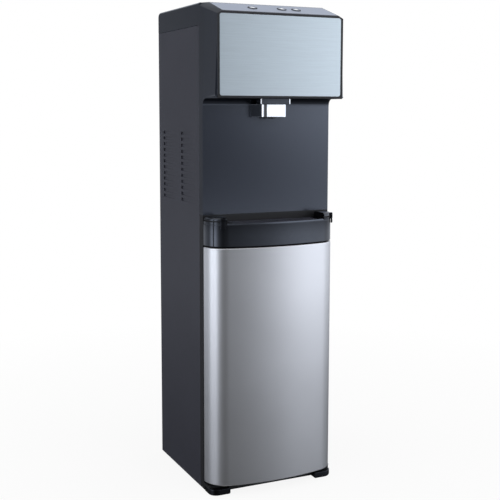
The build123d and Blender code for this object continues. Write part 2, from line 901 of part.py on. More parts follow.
# Tray band: the gloss housing over the door, with a well for the drip tray
well_half = half_width - band_hinge_end
with BuildPart() as tray_housing:
    with BuildSketch(Plane.XY.offset(band_low_z)):
        front_outline(band_inset, 0)
    extrude(amount=band_height)
    with BuildSketch(Plane.XY.offset(band_low_z + band_floor)):
        front_outline(band_wall, 0)
        keep_between(-well_half, well_half, band_wall, bow_reach)
    extrude(amount=band_height - band_floor, mode=Mode.SUBTRACT)
    post(
        door_hinge_x,
        ahead(door_hinge_reach),
        band_low_z,
        band_low_z + hinge_pin_depth,
        hinge_pin_radius + pin_gap,
        Mode.SUBTRACT,
    )
save(tray_housing, "tray_housing")

# Drip tray: a tub hung by its rim on the band, with a raised cap and a clip at each front corner
tub_inset = band_wall + running_gap
tub_half = well_half - running_gap
opening_inset = band_wall + tray_wall + ledge_width + running_gap
opening_half = half_width - tray_end
recess_inset = opening_inset - ledge_width
recess_half = opening_half + ledge_width
recess_z = tray_top_z - grille_thickness - fit_gap
clip_planes = [
    Plane(
        origin=(side * corner_x, corner_y, tray_top_z + clip_rise),
        x_dir=(side * cos(radians(turn)), -sin(radians(turn)), 0),
        z_dir=(0, 0, 1),
    )
    for side, turn in ((-1, left_clip_turn), (1, right_clip_turn))
]
clip_inner = bow_corner - band_inset + running_gap
with BuildPart() as drip_tray:
    with BuildSketch(Plane.XY.offset(band_top_z - tray_drop)):
        front_outline(tub_inset, 0)
        keep_between(-tub_half, tub_half, tub_inset, bow_reach)
    extrude(amount=tray_drop)
    with BuildSketch(Plane.XY.offset(band_top_z)):
        front_outline(tray_rim_inset, -running_gap)
        keep_between(-half_width, half_width, running_gap, bow_reach)
    extrude(amount=tray_rim)
    with BuildSketch(Plane.XY.offset(band_top_z - tray_drop + tray_wall)):
        front_outline(opening_inset, 0)
        keep_between(-opening_half, opening_half, opening_inset, bow_reach)
    extrude(amount=tray_drop + tray_rim, mode=Mode.SUBTRACT)
    with BuildSketch(Plane.XY.offset(recess_z)):
        front_outline(recess_inset, 0)
        keep_between(-recess_half, recess_half, recess_inset, bow_reach)
    extrude(amount=tray_top_z - recess_z, mode=Mode.SUBTRACT)
    with BuildSketch(Plane.XY.offset(tray_top_z)):
        front_outline(tray_rim_inset, -running_gap)
        keep_between(-half_width, half_width, running_gap, bow_reach)
        with Locations((0, ahead(bow_reach / 2))):
            Rectangle(cabinet_width - 2 * cap_width, 2 * bow_reach, mode=Mode.SUBTRACT)
    extrude(amount=cap_height)
    cap_edges = drip_tray.faces().filter_by(Axis.Z).group_by(Axis.Z)[-1].edges()
    fillet(cap_edges.filter_by_position(Axis.Y, ahead(bow_reach), ahead(side_straight)), cap_rounding)
    for clip_plane in clip_planes:
        with BuildSketch(clip_plane):
            with Locations((clip_inner + clip_thickness / 2, 0)):
                RectangleRounded(clip_thickness, clip_width, clip_thickness / 3)
        extrude(amount=-clip_rise - tray_rim - clip_drop)
        with BuildSketch(clip_plane):
            with Locations((clip_inner + (clip_thickness - clip_bridge) / 2, 0)):
                Rectangle(clip_thickness + clip_bridge, clip_width)
        extrude(amount=-clip_rise - tray_rim)
save(drip_tray, "drip_tray")

# Drip grille: a slotted plate lying in the tray's rim
grille_inset = recess_inset + running_gap
grille_half = recess_half - running_gap
slot_half = grille_half - grille_border
slot_count = int(2 * slot_half / grille_pitch) + 1
with BuildPart() as drip_grille:
    with BuildSketch(Plane.XY.offset(recess_z + fit_gap)):
        front_outline(grille_inset, 0)
        keep_between(-grille_half, grille_half, grille_inset, bow_reach)
    extrude(amount=grille_thickness)
    with BuildSketch(Plane.XY.offset(recess_z + fit_gap)):
        front_outline(grille_inset + grille_border, 0)
        keep_between(-grille_half, grille_half, grille_inset + grille_border, bow_reach)
        with Locations((0, ahead(bow_reach / 2))):
            with GridLocations(grille_pitch, 1, slot_count, 1):
                Rectangle(grille_slot, 2 * bow_reach, mode=Mode.INTERSECT)
    extrude(amount=grille_thickness, mode=Mode.SUBTRACT)
save(drip_grille, "drip_grille")

# Front frame: two pillars and a header, with a pocket for the magnet catch in the left pillar
pillar_inner = half_width - pillar_width
catch_x = -half_width + pillar_width / 2
with BuildPart() as front_frame:
    block((-half_width, niche_y, base_top_z), (half_width, seam_y, niche_floor_z))
    block((-pillar_inner, niche_y, base_top_z), (pillar_inner, seam_y, header_z), Mode.SUBTRACT)
    block(
        (-pillar_inner, niche_y + moulding_wall, header_z + moulding_wall),
        (pillar_inner, seam_y, niche_floor_z - moulding_wall),
        Mode.SUBTRACT,
    )
    block(
        (catch_x - catch_width / 2 - fit_gap, niche_y, catch_z - catch_height / 2 - fit_gap),
        (catch_x + catch_width / 2 + fit_gap, niche_y + catch_depth, catch_z + catch_height / 2 + fit_gap),
        Mode.SUBTRACT,
    )
save(front_frame, "front_frame")

with BuildPart() as magnet_catch:
    block(
        (catch_x - catch_width / 2, niche_y, catch_z - catch_height / 2),
        (catch_x + catch_width / 2, niche_y + catch_depth, catch_z + catch_height / 2),
    )
save(magnet_catch, "magnet_catch")

# Bottle bay liner: five panels that meet at the corners, open to the front
bay_half = liner_half_width - liner_wall
bay_floor_z = base_top_z + liner_wall
ceiling_z = liner_top_z - liner_wall
wall_low_z = bay_floor_z + fit_gap
wall_high_z = ceiling_z - fit_gap
back_half = bay_half - fit_gap
with BuildPart() as bay_liner:
    block((-liner_half_width, seam_y, base_top_z), (liner_half_width, liner_back_y, bay_floor_z))
    block((-liner_half_width, seam_y, ceiling_z), (liner_half_width, liner_back_y, liner_top_z))
    block((-liner_half_width, seam_y, wall_low_z), (-bay_half, liner_back_y, wall_high_z))
    block((bay_half, seam_y, wall_low_z), (liner_half_width, liner_back_y, wall_high_z))
    block((-back_half, liner_back_y - liner_wall, wall_low_z), (back_half, liner_back_y, wall_high_z))
    post(suction_x, suction_y, ceiling_z, liner_top_z, suction_radius + fit_gap, Mode.SUBTRACT)
save(bay_liner, "bay_liner")

# Machine deck over the bay
with BuildPart() as machine_deck:
    block(
        (sheet - half_width, seam_y + sheet, liner_top_z),
        (half_width - sheet, rear_web_front_y, deck_top_z),
    )
    post(suction_x, suction_y, liner_top_z, deck_top_z, suction_radius + fit_gap, Mode.SUBTRACT)
save(machine_deck, "machine_deck")

# Suction fitting: from the bay's ceiling up to the pump
pump_low_z = deck_top_z + pump_foot
with BuildPart() as suction_fitting:
    post(suction_x, suction_y, ceiling_z - suction_drop, pump_low_z, suction_radius)
    post(suction_x, suction_y, ceiling_z - suction_flange, ceiling_z, suction_flange_radius)
    post(suction_x, suction_y, ceiling_z - suction_drop, pump_low_z, pipe_radius, Mode.SUBTRACT)
save(suction_fitting, "suction_fitting")

# Door skin: a bowed shell, open at the back, with a hole for each hinge pin
with BuildPart() as door_skin_shell:
    with BuildSketch(Plane.XY.offset(door_low_z)):
        front_outline(0, 0)
        keep_between(-half_width, half_width, door_back, bow_reach)
        swing_relief(0)
    extrude(amount=door_height)
    with BuildSketch(Plane.XY.offset(door_low_z + door_skin)):
        front_outline(door_skin, 0)
        keep_between(-half_width, half_width, door_back, bow_reach)
        swing_relief(door_skin)
    extrude(amount=door_height - 2 * door_skin, mode=Mode.SUBTRACT)
    post(
        door_hinge_x,
        ahead(door_hinge_reach),
        door_low_z,
        door_top_z,
        hinge_pin_radius + running_gap,
        Mode.SUBTRACT,
    )
save(door_skin_shell, "door_skin")

# Door liner: four rails inside the skin and a panel between them, set forward to leave room for the bottle
liner_inset = door_skin + fit_gap
dish_half = half_width - door_recess_border
rail_low_z = door_low_z + liner_inset
rail_high_z = door_top_z - liner_inset
rail_front = door_back + door_recess
dish_low_z = rail_low_z + door_liner_wall
dish_high_z = door_top_z - door_recess_border
hinge_rail_low_z = rail_low_z + hinge_block_height + fit_gap
hinge_rail_high_z = rail_high_z - hinge_block_height - fit_gap
panel_half = dish_half - fit_gap
with BuildPart() as door_liner:
    for low_x, high_x, low_z, high_z in (
        (-half_width, -dish_half, rail_low_z, rail_high_z),
        (dish_half, half_width, hinge_rail_low_z, hinge_rail_high_z),
    ):
        with BuildSketch(Plane.XY.offset(low_z)):
            front_outline(liner_inset, 0)
            swing_relief(liner_inset)
            keep_between(low_x, high_x, door_back, rail_front)
        extrude(amount=high_z - low_z)
    block((-panel_half, ahead(rail_front), rail_low_z), (panel_half, ahead(door_back), dish_low_z))
    block((-panel_half, ahead(rail_front), dish_high_z), (panel_half, ahead(door_back), rail_high_z))
    block(
        (-panel_half, ahead(rail_front), dish_low_z + fit_gap),
        (panel_half, ahead(rail_front - door_liner_wall), dish_high_z - fit_gap),
    )
save(door_liner, "door_liner")

# Hinge blocks inside the skin, at the top and bottom of the hinged side
with BuildPart() as door_hinge_blocks:
    for low_z in (rail_low_z, rail_high_z - hinge_block_height):
        with BuildSketch(Plane.XY.offset(low_z)):
            front_outline(liner_inset, 0)
            swing_relief(liner_inset)
            keep_between(dish_half + fit_gap, half_width, door_back, hinge_block_front)
        extrude(amount=hinge_block_height)
    for low_z, high_z in (
        (door_low_z, door_low_z + hinge_pin_depth),
        (door_top_z - hinge_pin_depth, door_top_z),
    ):
        post(
            door_hinge_x, ahead(door_hinge_reach), low_z, high_z, hinge_pin_radius + pin_gap, Mode.SUBTRACT
        )
save(door_hinge_blocks, "door_hinge_blocks")

# Lower hinge: a plate on the base pan with the pin on it, and its screws
hinge_plate_x = half_width - plinth_side_inset - hinge_plate_width
hinge_screw_places = [
    (hinge_plate_x + hinge_plate_width / 2 - hinge_screw_pitch / 2 - hinge_screw_head_radius, ahead(reach))
    for reach in (door_hinge_reach - hinge_screw_pitch / 2, door_hinge_reach + hinge_screw_pitch / 2)
]
with BuildPart() as lower_hinge:
    block(
        (hinge_plate_x, ahead(hinge_plate_front), base_top_z),
        (hinge_plate_x + hinge_plate_width, ahead(fit_gap), base_top_z + hinge_plate),
    )
    post(
        door_hinge_x,
        ahead(door_hinge_reach),
        base_top_z + hinge_plate,
        door_low_z + hinge_pin_depth - running_gap,
        hinge_pin_radius,
    )
    for x, y in hinge_screw_places:
        post(x, y, base_top_z, base_top_z + hinge_plate, hinge_screw_head_radius + fit_gap, Mode.SUBTRACT)
save(lower_hinge, "lower_hinge")

with BuildPart() as hinge_screws:
    for x, y in hinge_screw_places:
        post(x, y, base_top_z, base_top_z + hinge_plate, hinge_screw_head_radius)
save(hinge_screws, "hinge_screws")

with BuildPart() as upper_hinge_pin:
    post(
        door_hinge_x,
        ahead(door_hinge_reach),
        door_top_z - hinge_pin_depth + running_gap,
        band_low_z + hinge_pin_depth,
        hinge_pin_radius,
    )
save(upper_hinge_pin, "upper_hinge_pin")

# Strike plate for the magnet and two bumpers, on the back of the door liner
with BuildPart() as strike_plate:
    block(
        (catch_x - catch_width / 2, ahead(door_back), catch_z - catch_height / 2),
        (catch_x + catch_width / 2, ahead(bumper_gap), catch_z + catch_height / 2),
    )
save(strike_plate, "strike_plate")

with BuildPart() as door_bumpers:
    for z in (door_low_z + bumper_edge, door_top_z - bumper_edge):
        spindle(catch_x, z, ahead(door_back), ahead(bumper_gap), bumper_radius)
save(door_bumpers, "door_bumpers")

# Compressor: a domed can on a foot plate, on four rubber mounts
compressor_plate_z = deck_top_z + mount_height
can_low_z = compressor_plate_z + compressor_foot_plate
can_top_z = can_low_z + compressor_height
port_z = can_top_z - compressor_port_drop
mount_dx = compressor_foot_length / 2 - mount_edge
mount_dy = compressor_foot_width / 2 - mount_edge
mount_places = [(compressor_x + x * mount_dx, compressor_y + y * mount_dy) for x in (-1, 1) for y in (-1, 1)]
with BuildPart() as compressor:
    post(compressor_x, compressor_y, can_low_z, can_top_z, compressor_radius)
    fillet(compressor.faces().sort_by(Axis.Z)[-1].edges(), compressor_dome)
    with BuildSketch(Plane.XY.offset(compressor_plate_z)):
        with Locations((compressor_x, compressor_y)):
            RectangleRounded(compressor_foot_length, compressor_foot_width, mount_edge)
    extrude(amount=compressor_foot_plate)
    with Locations(Location((compressor_x + compressor_radius, compressor_y, port_z), (0, 90, 0))):
        Cylinder(compressor_port_radius, 2 * compressor_port_length)
    post(
        compressor_x,
        compressor_y,
        can_low_z + compressor_shell,
        can_top_z - compressor_dome,
        compressor_radius - compressor_shell,
        Mode.SUBTRACT,
    )
save(compressor, "compressor")

with BuildPart() as compressor_mounts:
    for x, y in mount_places:
        post(x, y, deck_top_z, compressor_plate_z, mount_radius)
save(compressor_mounts, "compressor_mounts")

# Discharge pipe: from the compressor's port up and back to the condenser
condenser_y = rear_web_y + condenser_stand_off + condenser_tube_radius
discharge_x = condenser_half_width + pipe_bend
port_end_x = compressor_x + compressor_radius + compressor_port_length
with BuildPart() as discharge_pipe:
    pipe(
        [
            (port_end_x, compressor_y, port_z),
            (half_width - flange, compressor_y, port_z),
            (half_width - flange, compressor_y, condenser_top_z),
            (discharge_x, compressor_y, condenser_top_z),
            (discharge_x, rear_web_y, condenser_top_z),
        ],
        condenser_tube_radius,
        condenser_tube_radius * 3,
    )
save(discharge_pipe, "discharge_pipe")

# Condenser: one tube folded to and fro, thin wires across it, and clips to the rear panel
condenser_points = [(discharge_x, rear_web_y, condenser_top_z), (discharge_x, condenser_y, condenser_top_z)]
side = -1
for turn in range(condenser_passes):
    z = condenser_top_z - turn * condenser_pitch
    condenser_points.append((side * condenser_half_width, condenser_y, z))
    if turn < condenser_passes - 1:
        condenser_points.append((side * condenser_half_width, condenser_y, z - condenser_pitch))
    side = -side
condenser_low_z = condenser_top_z - (condenser_passes - 1) * condenser_pitch
condenser_radii = [condenser_stand_off] + [condenser_bend] * (len(condenser_points) - 3)
with BuildPart() as condenser:
    pipe(condenser_points, condenser_tube_radius, condenser_radii)
save(condenser, "condenser")

wire_step = condenser_tube_radius + wire_radius + wire_gap
wire_count = int(2 * (condenser_half_width - condenser_bend) / wire_pitch)
wire_xs = [(i - (wire_count - 1) / 2) * wire_pitch for i in range(wire_count)]
with BuildPart() as condenser_wires:
    for x in wire_xs:
        for y in (condenser_y - wire_step, condenser_y + wire_step):
            post(x, y, condenser_low_z - wire_overrun, condenser_top_z + wire_overrun, wire_radius)
save(condenser_wires, "condenser_wires")

clip_xs = [side * (int(bracket_x / wire_pitch) + 0.5 * (wire_count % 2)) * wire_pitch for side in (-1, 1)]
with BuildPart() as condenser_clips:
    for x in clip_xs:
        for z in (condenser_low_z, condenser_top_z):
            block(
                (x - bracket_width / 2, rear_web_y, z - bracket_height / 2),
                (x + bracket_width / 2, rear_web_y + condenser_stand_off - wire_gap, z + bracket_height / 2),
            )
save(condenser_clips, "condenser_clips")

# Tank shelf, with holes where pipes go through
hole_radius = pipe_radius + pipe_hole_gap
cold_floor_z = shelf_top_z + cold_jacket_floor
hot_floor_z = shelf_top_z + hot_jacket_floor
cold_top_z = cold_floor_z + cold_height
hot_top_z = hot_floor_z + hot_height
hot_line_top_z = hot_top_z + hot_line_rise
feed_x = suction_x
feed_y = cold_y
cold_ports = [(cold_x, cold_y), (feed_x, feed_y), (link_x, link_y), (drain_x, drain_y)]
with BuildPart() as tank_shelf:
    shelf_half = half_width - shelf_side_gap
    block((-shelf_half, shelf_front_y, shelf_z), (shelf_half, rear_web_front_y, shelf_top_z))
    for low_x in (-shelf_half, shelf_half - shelf_leg):
        block((low_x, shelf_front_y, deck_top_z), (low_x + shelf_leg, shelf_front_y + shelf_leg, shelf_z))
    for x, y in cold_ports + [(hot_x, hot_y)]:
        post(x, y, shelf_z, shelf_top_z, hole_radius, Mode.SUBTRACT)
    post(
        half_width - flange,
        compressor_y,
        shelf_z,
        shelf_top_z,
        condenser_tube_radius + pipe_hole_gap,
        Mode.SUBTRACT,
    )
save(tank_shelf, "tank_shelf")

# Cold tank in a foam jacket with a lid, wound with the evaporator coil
with BuildPart() as cold_tank:
    post(cold_x, cold_y, cold_floor_z, cold_top_z, cold_radius)
    water_radius = cold_radius - tank_wall
    post(cold_x, cold_y, cold_floor_z + tank_wall, cold_top_z - tank_wall, water_radius, Mode.SUBTRACT)
save(cold_tank, "cold_tank")

coil_path = cold_radius + coil_gap + coil_radius
with BuildPart() as evaporator_coil:
    for turn in range(coil_turns):
        with Locations((cold_x, cold_y, cold_floor_z + coil_low + turn * coil_pitch)):
            Torus(coil_path, coil_radius)
    riser_low_z = cold_floor_z + coil_low - coil_pitch / 2
    riser_high_z = cold_floor_z + coil_low + (coil_turns - 0.5) * coil_pitch
    post(cold_x, cold_y - coil_path, riser_low_z, riser_high_z, coil_riser_radius)
save(evaporator_coil, "evaporator_coil")

cold_jacket_top_z = cold_top_z + cold_lid_gap
with BuildPart() as cold_tank_jacket:
    post(cold_x, cold_y, shelf_top_z, cold_jacket_top_z, cold_jacket_outer)
    post(cold_x, cold_y, cold_floor_z, cold_jacket_top_z, cold_jacket_inner, Mode.SUBTRACT)
    for x, y in cold_ports:
        post(x, y, shelf_top_z, cold_floor_z, hole_radius, Mode.SUBTRACT)
save(cold_tank_jacket, "cold_tank_jacket")

with BuildPart() as cold_tank_lid:
    post(cold_x, cold_y, cold_jacket_top_z, cold_jacket_top_z + cold_lid_thickness, cold_jacket_outer)
    fillet(cold_tank_lid.faces().sort_by(Axis.Z)[-1].edges(), cold_lid_gap)
save(cold_tank_lid, "cold_tank_lid")

# Hot tank in its jacket, with a band heater and a thermostat on top
with BuildPart() as hot_tank:
    post(hot_x, hot_y, hot_floor_z, hot_top_z, hot_radius)
    post(hot_x, hot_y + thermostat_offset, hot_top_z, hot_top_z + thermostat_height, thermostat_radius)
    post(hot_x, hot_y, hot_floor_z + tank_wall, hot_top_z - tank_wall, hot_radius - tank_wall, Mode.SUBTRACT)
save(hot_tank, "hot_tank")

with BuildPart() as heater_band:
    band_z = hot_floor_z + heater_low
    post(hot_x, hot_y, band_z, band_z + heater_height, hot_radius + fit_gap + heater_thickness)
    post(hot_x, hot_y, band_z, band_z + heater_height, hot_radius + fit_gap, Mode.SUBTRACT)
save(heater_band, "heater_band")

with BuildPart() as hot_tank_jacket:
    post(hot_x, hot_y, shelf_top_z, shelf_top_z + hot_jacket_height, hot_jacket_outer)
    post(hot_x, hot_y, hot_floor_z, shelf_top_z + hot_jacket_height, hot_jacket_inner, Mode.SUBTRACT)
    post(hot_x, hot_y, shelf_top_z, hot_floor_z, hole_radius, Mode.SUBTRACT)
save(hot_tank_jacket, "hot_tank_jacket")

# Water pump over the suction fitting
pump_top_z = pump_low_z + pump_height
pump_foot_dx = pump_width / 2 - pump_foot_radius
pump_foot_dy = pump_depth / 2 - pump_foot_radius
pump_front_y = suction_y - pump_depth / 2
pump_port_z = pump_low_z + pump_height / 2
with BuildPart() as water_pump:
    with BuildSketch(Plane.XY.offset(pump_low_z)):
        with Locations((suction_x, suction_y)):
            RectangleRounded(pump_width, pump_depth, pump_corner)
    extrude(amount=pump_height)
    spindle(
        suction_x,
        pump_port_z,
        suction_y + pump_depth / 2,
        suction_y + pump_depth / 2 + pump_motor_length,
        pump_motor_radius,
    )
    for x in (-1, 1):
        for y in (-1, 1):
            post(
                suction_x + x * pump_foot_dx,
                suction_y + y * pump_foot_dy,
                deck_top_z,
                pump_low_z,
                pump_foot_radius,
            )
save(water_pump, "water_pump")

# Three solenoid valves on a bracket behind the niche
valve_xs = (-valve_pitch, 0.0, valve_pitch)
bracket_y = niche_y + moulding_wall
valve_front_y = bracket_y + valve_bracket
valve_mid_y = valve_front_y + valve_depth / 2
valve_back_y = valve_front_y + valve_depth
valve_top_z = valve_low_z + valve_height
valve_mid_z = valve_low_z + valve_height / 2
valve_bracket_half = valve_pitch + valve_width / 2 + valve_bracket_margin
with BuildPart() as solenoid_valves:
    block(
        (-valve_bracket_half, bracket_y, valve_low_z - valve_bracket_margin),
        (valve_bracket_half, valve_front_y, valve_top_z + valve_bracket_margin),
    )
    for x in valve_xs:
        block(
            (x - valve_width / 2, valve_front_y, valve_low_z),
            (x + valve_width / 2, valve_back_y, valve_top_z),
        )
        spindle(x, valve_mid_z, valve_back_y, valve_back_y + valve_coil_length, valve_coil_radius)
save(solenoid_valves, "solenoid_valves")

# Water pipes: valves to nozzle, pump to cold tank, and the tanks to their valves and to the drain
collar_top_z = head_low_z + nozzle_collar_height
with BuildPart() as outlet_pipes:
    for index, x in enumerate(valve_xs):
        outlet_x = (index - 1) * outlet_pitch
        pipe(
            [
                (x, valve_mid_y, valve_top_z),
                (x, valve_mid_y, outlet_rise_z),
                (outlet_x, ahead(collar_reach), outlet_rise_z),
                (outlet_x, ahead(collar_reach), collar_top_z),
            ],
            pipe_radius,
            pipe_radius,
        )
save(outlet_pipes, "outlet_pipes")

feed_route = [
    (feed_x, feed_y, cold_floor_z),
    (feed_x, feed_y, pump_top_z + pipe_bend),
    (feed_x, suction_y, pump_top_z + pipe_bend),
    (feed_x, suction_y, pump_top_z),
]
cold_route = [
    (cold_x, cold_y, cold_floor_z),
    (cold_x, cold_y, cold_line_z),
    (-valve_pitch, valve_mid_y, cold_line_z),
    (-valve_pitch, valve_mid_y, valve_low_z),
]
link_route = [
    (link_x, link_y, cold_floor_z),
    (link_x, link_y, link_line_z),
    (link_x, hot_y, link_line_z),
    (hot_x, hot_y, link_line_z),
    (hot_x, hot_y, hot_floor_z),
]
hot_route = [
    (hot_x, hot_y, hot_top_z),
    (hot_x, hot_y, hot_line_top_z),
    (hot_x, valve_mid_y, hot_line_top_z),
    (hot_x, valve_mid_y, hot_line_low_z),
    (valve_pitch, valve_mid_y, hot_line_low_z),
    (valve_pitch, valve_mid_y, valve_low_z),
]
ambient_route = [
    (suction_x, pump_front_y, pump_port_z),
    (suction_x, ambient_line_y, pump_port_z),
    (suction_x, ambient_line_y, ambient_line_z),
    (0, ambient_line_y, ambient_line_z),
    (0, valve_mid_y, ambient_line_z),
    (0, valve_mid_y, valve_low_z),
]
drain_route = [
    (drain_x, drain_y, cold_floor_z),
    (drain_x, drain_y, drain_z),
    (drain_x, rear_web_front_y - plug_flange, drain_z),
]
with BuildPart() as water_pipes:
    pipe(feed_route, pipe_radius, pipe_radius)
    for route in (cold_route, link_route, hot_route, ambient_route, drain_route):
        pipe(route, pipe_radius, pipe_bend)
save(water_pipes, "water_pipes")

# Power board on posts on the deck
power_board_z = deck_top_z + power_board_rise
power_board_top_z = power_board_z + board_thickness
post_dx = power_board_width / 2 - power_board_post_edge
post_dy = power_board_depth / 2 - power_board_post_edge
with BuildPart() as power_board:
    with Locations((power_board_x, power_board_y, power_board_z + board_thickness / 2)):
        Box(power_board_width, power_board_depth, board_thickness)
    with Locations((power_board_x - post_dx / 2, power_board_y, power_board_top_z + transformer_height / 2)):
        Box(transformer_size, transformer_size, transformer_height)
    for step in (-1, 1):
        relay_y = power_board_y + step * relay_size
        with Locations((power_board_x + post_dx / 2, relay_y, power_board_top_z + relay_height / 2)):
            Box(relay_size, relay_size, relay_height)
    for x in (-1, 1):
        for y in (-1, 1):
            post(
                power_board_x + x * post_dx,
                power_board_y + y * post_dy,
                deck_top_z,
                power_board_z,
                power_board_post_radius,
            )
save(power_board, "power_board")

# Rear fittings: mains gland, drain plug and the frame of the two rocker switches
with BuildPart() as mains_gland:
    spindle(gland_x, gland_z, rear_web_y, rear_web_y + gland_flange, gland_flange_radius)
    spindle(gland_x, gland_z, rear_web_front_y, rear_web_y, gland_radius)
    spindle(gland_x, gland_z, rear_web_front_y - gland_flange, rear_web_front_y, gland_flange_radius)
    gland_front_y = rear_web_front_y - gland_flange
    spindle(gland_x, gland_z, gland_front_y, rear_web_y + gland_flange, gland_bore, Mode.SUBTRACT)
save(mains_gland, "mains_gland")

with BuildPart() as drain_plug:
    spindle(drain_x, drain_z, rear_web_y, rear_web_y + plug_flange, plug_flange_radius)
    spindle(drain_x, drain_z, rear_web_front_y, rear_web_y, plug_radius)
    spindle(drain_x, drain_z, rear_web_front_y - plug_flange, rear_web_front_y, plug_flange_radius)
    fillet(drain_plug.faces().sort_by(Axis.Y)[-1].edges(), plug_flange / 4)
save(drain_plug, "drain_plug")

frame_face_y = rear_web_y + switch_frame_plate
rocker_xs = {"heater_rocker": switch_x - switch_pitch / 2, "cooler_rocker": switch_x + switch_pitch / 2}
body_half_width = switch_frame_width / 2 - switch_body_border
body_half_height = switch_frame_height / 2 - switch_body_border
rocker_y = frame_face_y - rocker_radius + rocker_proud
with BuildPart() as switch_frame:
    block(
        (switch_x - switch_frame_width / 2, rear_web_y, switch_z - switch_frame_height / 2),
        (switch_x + switch_frame_width / 2, frame_face_y, switch_z + switch_frame_height / 2),
    )
    block(
        (switch_x - body_half_width, rear_web_front_y - switch_body_depth, switch_z - body_half_height),
        (switch_x + body_half_width, rear_web_y, switch_z + body_half_height),
    )
    slot_half_width = rocker_width / 2 + fit_gap
    slot_half_height = rocker_radius + fit_gap
    for x in rocker_xs.values():
        block(
            (x - slot_half_width, rocker_y - rocker_radius - running_gap, switch_z - slot_half_height),
            (x + slot_half_width, frame_face_y, switch_z + slot_half_height),
            Mode.SUBTRACT,
        )
save(switch_frame, "switch_frame")

# Rockers: round underneath, with two flat faces meeting at a shallow ridge, tipped to one side at rest
for rocker_name, x in rocker_xs.items():
    with BuildPart() as rocker:
        with Locations(Location((x, rocker_y, switch_z), (0, 90, 0))):
            Cylinder(rocker_radius, rocker_width)
        rocker_face = Plane(
            origin=(x, rocker_y + rocker_radius * cos(radians(rocker_tilt)), switch_z),
            x_dir=(1, 0, 0),
            z_dir=(0, cos(radians(rocker_tilt)), sin(radians(rocker_tilt))),
        )
        split(bisect_by=rocker_face, keep=Keep.BOTTOM)
    save(rocker, rocker_name)
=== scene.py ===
from math import acos, asin, atan2, cos, pi, radians, sin, sqrt

import bmesh
import bpy
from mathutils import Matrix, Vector


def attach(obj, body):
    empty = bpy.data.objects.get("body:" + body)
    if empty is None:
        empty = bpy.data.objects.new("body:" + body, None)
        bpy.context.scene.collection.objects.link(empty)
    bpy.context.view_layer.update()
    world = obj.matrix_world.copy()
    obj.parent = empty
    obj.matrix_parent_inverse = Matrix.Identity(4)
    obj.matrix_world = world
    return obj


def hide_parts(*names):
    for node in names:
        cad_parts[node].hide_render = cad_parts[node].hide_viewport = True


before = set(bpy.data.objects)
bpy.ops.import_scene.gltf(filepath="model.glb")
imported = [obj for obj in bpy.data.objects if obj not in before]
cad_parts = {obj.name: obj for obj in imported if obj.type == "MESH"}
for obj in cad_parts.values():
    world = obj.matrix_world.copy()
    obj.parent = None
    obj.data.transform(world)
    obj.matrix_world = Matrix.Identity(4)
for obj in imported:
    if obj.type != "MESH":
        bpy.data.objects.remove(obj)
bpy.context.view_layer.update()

bl_info = {
    "name": "Water Dispenser",
    "version": (1, 0, 0),
    "blender": (4, 5, 0),
    "location": "View3D > Sidebar > Dispenser",
    "description": "Models the visible pieces of a floor-standing water dispenser and its studio",
    "category": "Object",
}


def length(name, description, default):
    """A length property in metres."""
    return bpy.props.FloatProperty(
        name=name, description=description, default=default, unit="LENGTH", precision=5
    )


def angle(name, description, degrees):
    """An angle property, written in degrees."""
    return bpy.props.FloatProperty(
        name=name, description=description, default=radians(degrees), subtype="ANGLE"
    )


def number(name, description, default):
    """A plain number property."""
    return bpy.props.FloatProperty(name=name, description=description, default=default)


def whole(name, description, default):
    """A property that counts something."""
    return bpy.props.IntProperty(name=name, description=description, default=default)


def colour(name, description, default):
    """A colour property, written as an sRGB hex value."""
    return bpy.props.StringProperty(name=name, description=description, default=default)


class CabinetSizes(bpy.types.PropertyGroup):
    """Sizes of the cabinet behind the front"""

    half_width: length("Half width", "Half of the cabinet's width", 0.155)
    back_y: length("Back", "Y of the top cover's back", 0.175)
    seam_y: length("Seam", "Y of the seam between side panels and front", -0.085)
    panel_back_y: length("Panel back", "Y of the side panels' back edge", 0.173)
    panel_low_z: length("Panel bottom", "Height of the side panels' lower edge", 0.0055)
    flange_low_z: length("Flange bottom", "Height of the lower ends of the panels' flanges", 0.0205)
    panel_top_z: length("Panel top", "Height of the seam under the top cover", 1.032)
    top_z: length("Top", "Height of the dispenser", 1.080)
    sheet: length("Sheet", "Thickness of the side panels", 0.001)
    flange: length("Flange", "Depth of the panels' folded flanges", 0.012)
    fold: length("Fold radius", "Radius of the panels' folds", 0.0022)
    louvre_length: length("Louvre length", "Length of one louvre", 0.086)
    louvre_height: length("Louvre height", "Height of one louvre", 0.0080)
    louvre_pitch: length("Louvre pitch", "Distance from louvre to louvre", 0.01365)
    louvre_low_z: length("Louvre bottom", "Height of the lowest louvre", 0.6447)
    louvre_press: length("Louvre press", "How far a louvre is pressed in", 0.0022)
    louvre_front_y: length("Front louvres", "Y of the front end of the front column", -0.061)
    louvre_rear_y: length("Rear louvres", "Y of the front end of the rear column", 0.056)
    louvre_rim: length("Louvre rim", "Width of the flat rim around a louvre", 0.0004)
    louvre_lip: length("Louvre lip", "Depth of the step around a louvre's slope", 0.0001)
    louvre_rows: whole("Louvre rows", "Louvres in one column", 12)
    cover_wall: length("Cover wall", "Thickness of the top cover", 0.0025)
    cover_back_radius: length("Cover back radius", "Rounding of the cover's rear top edge", 0.012)
    cover_side_radius: length("Cover side radius", "Rounding of the cover's side edges", 0.004)


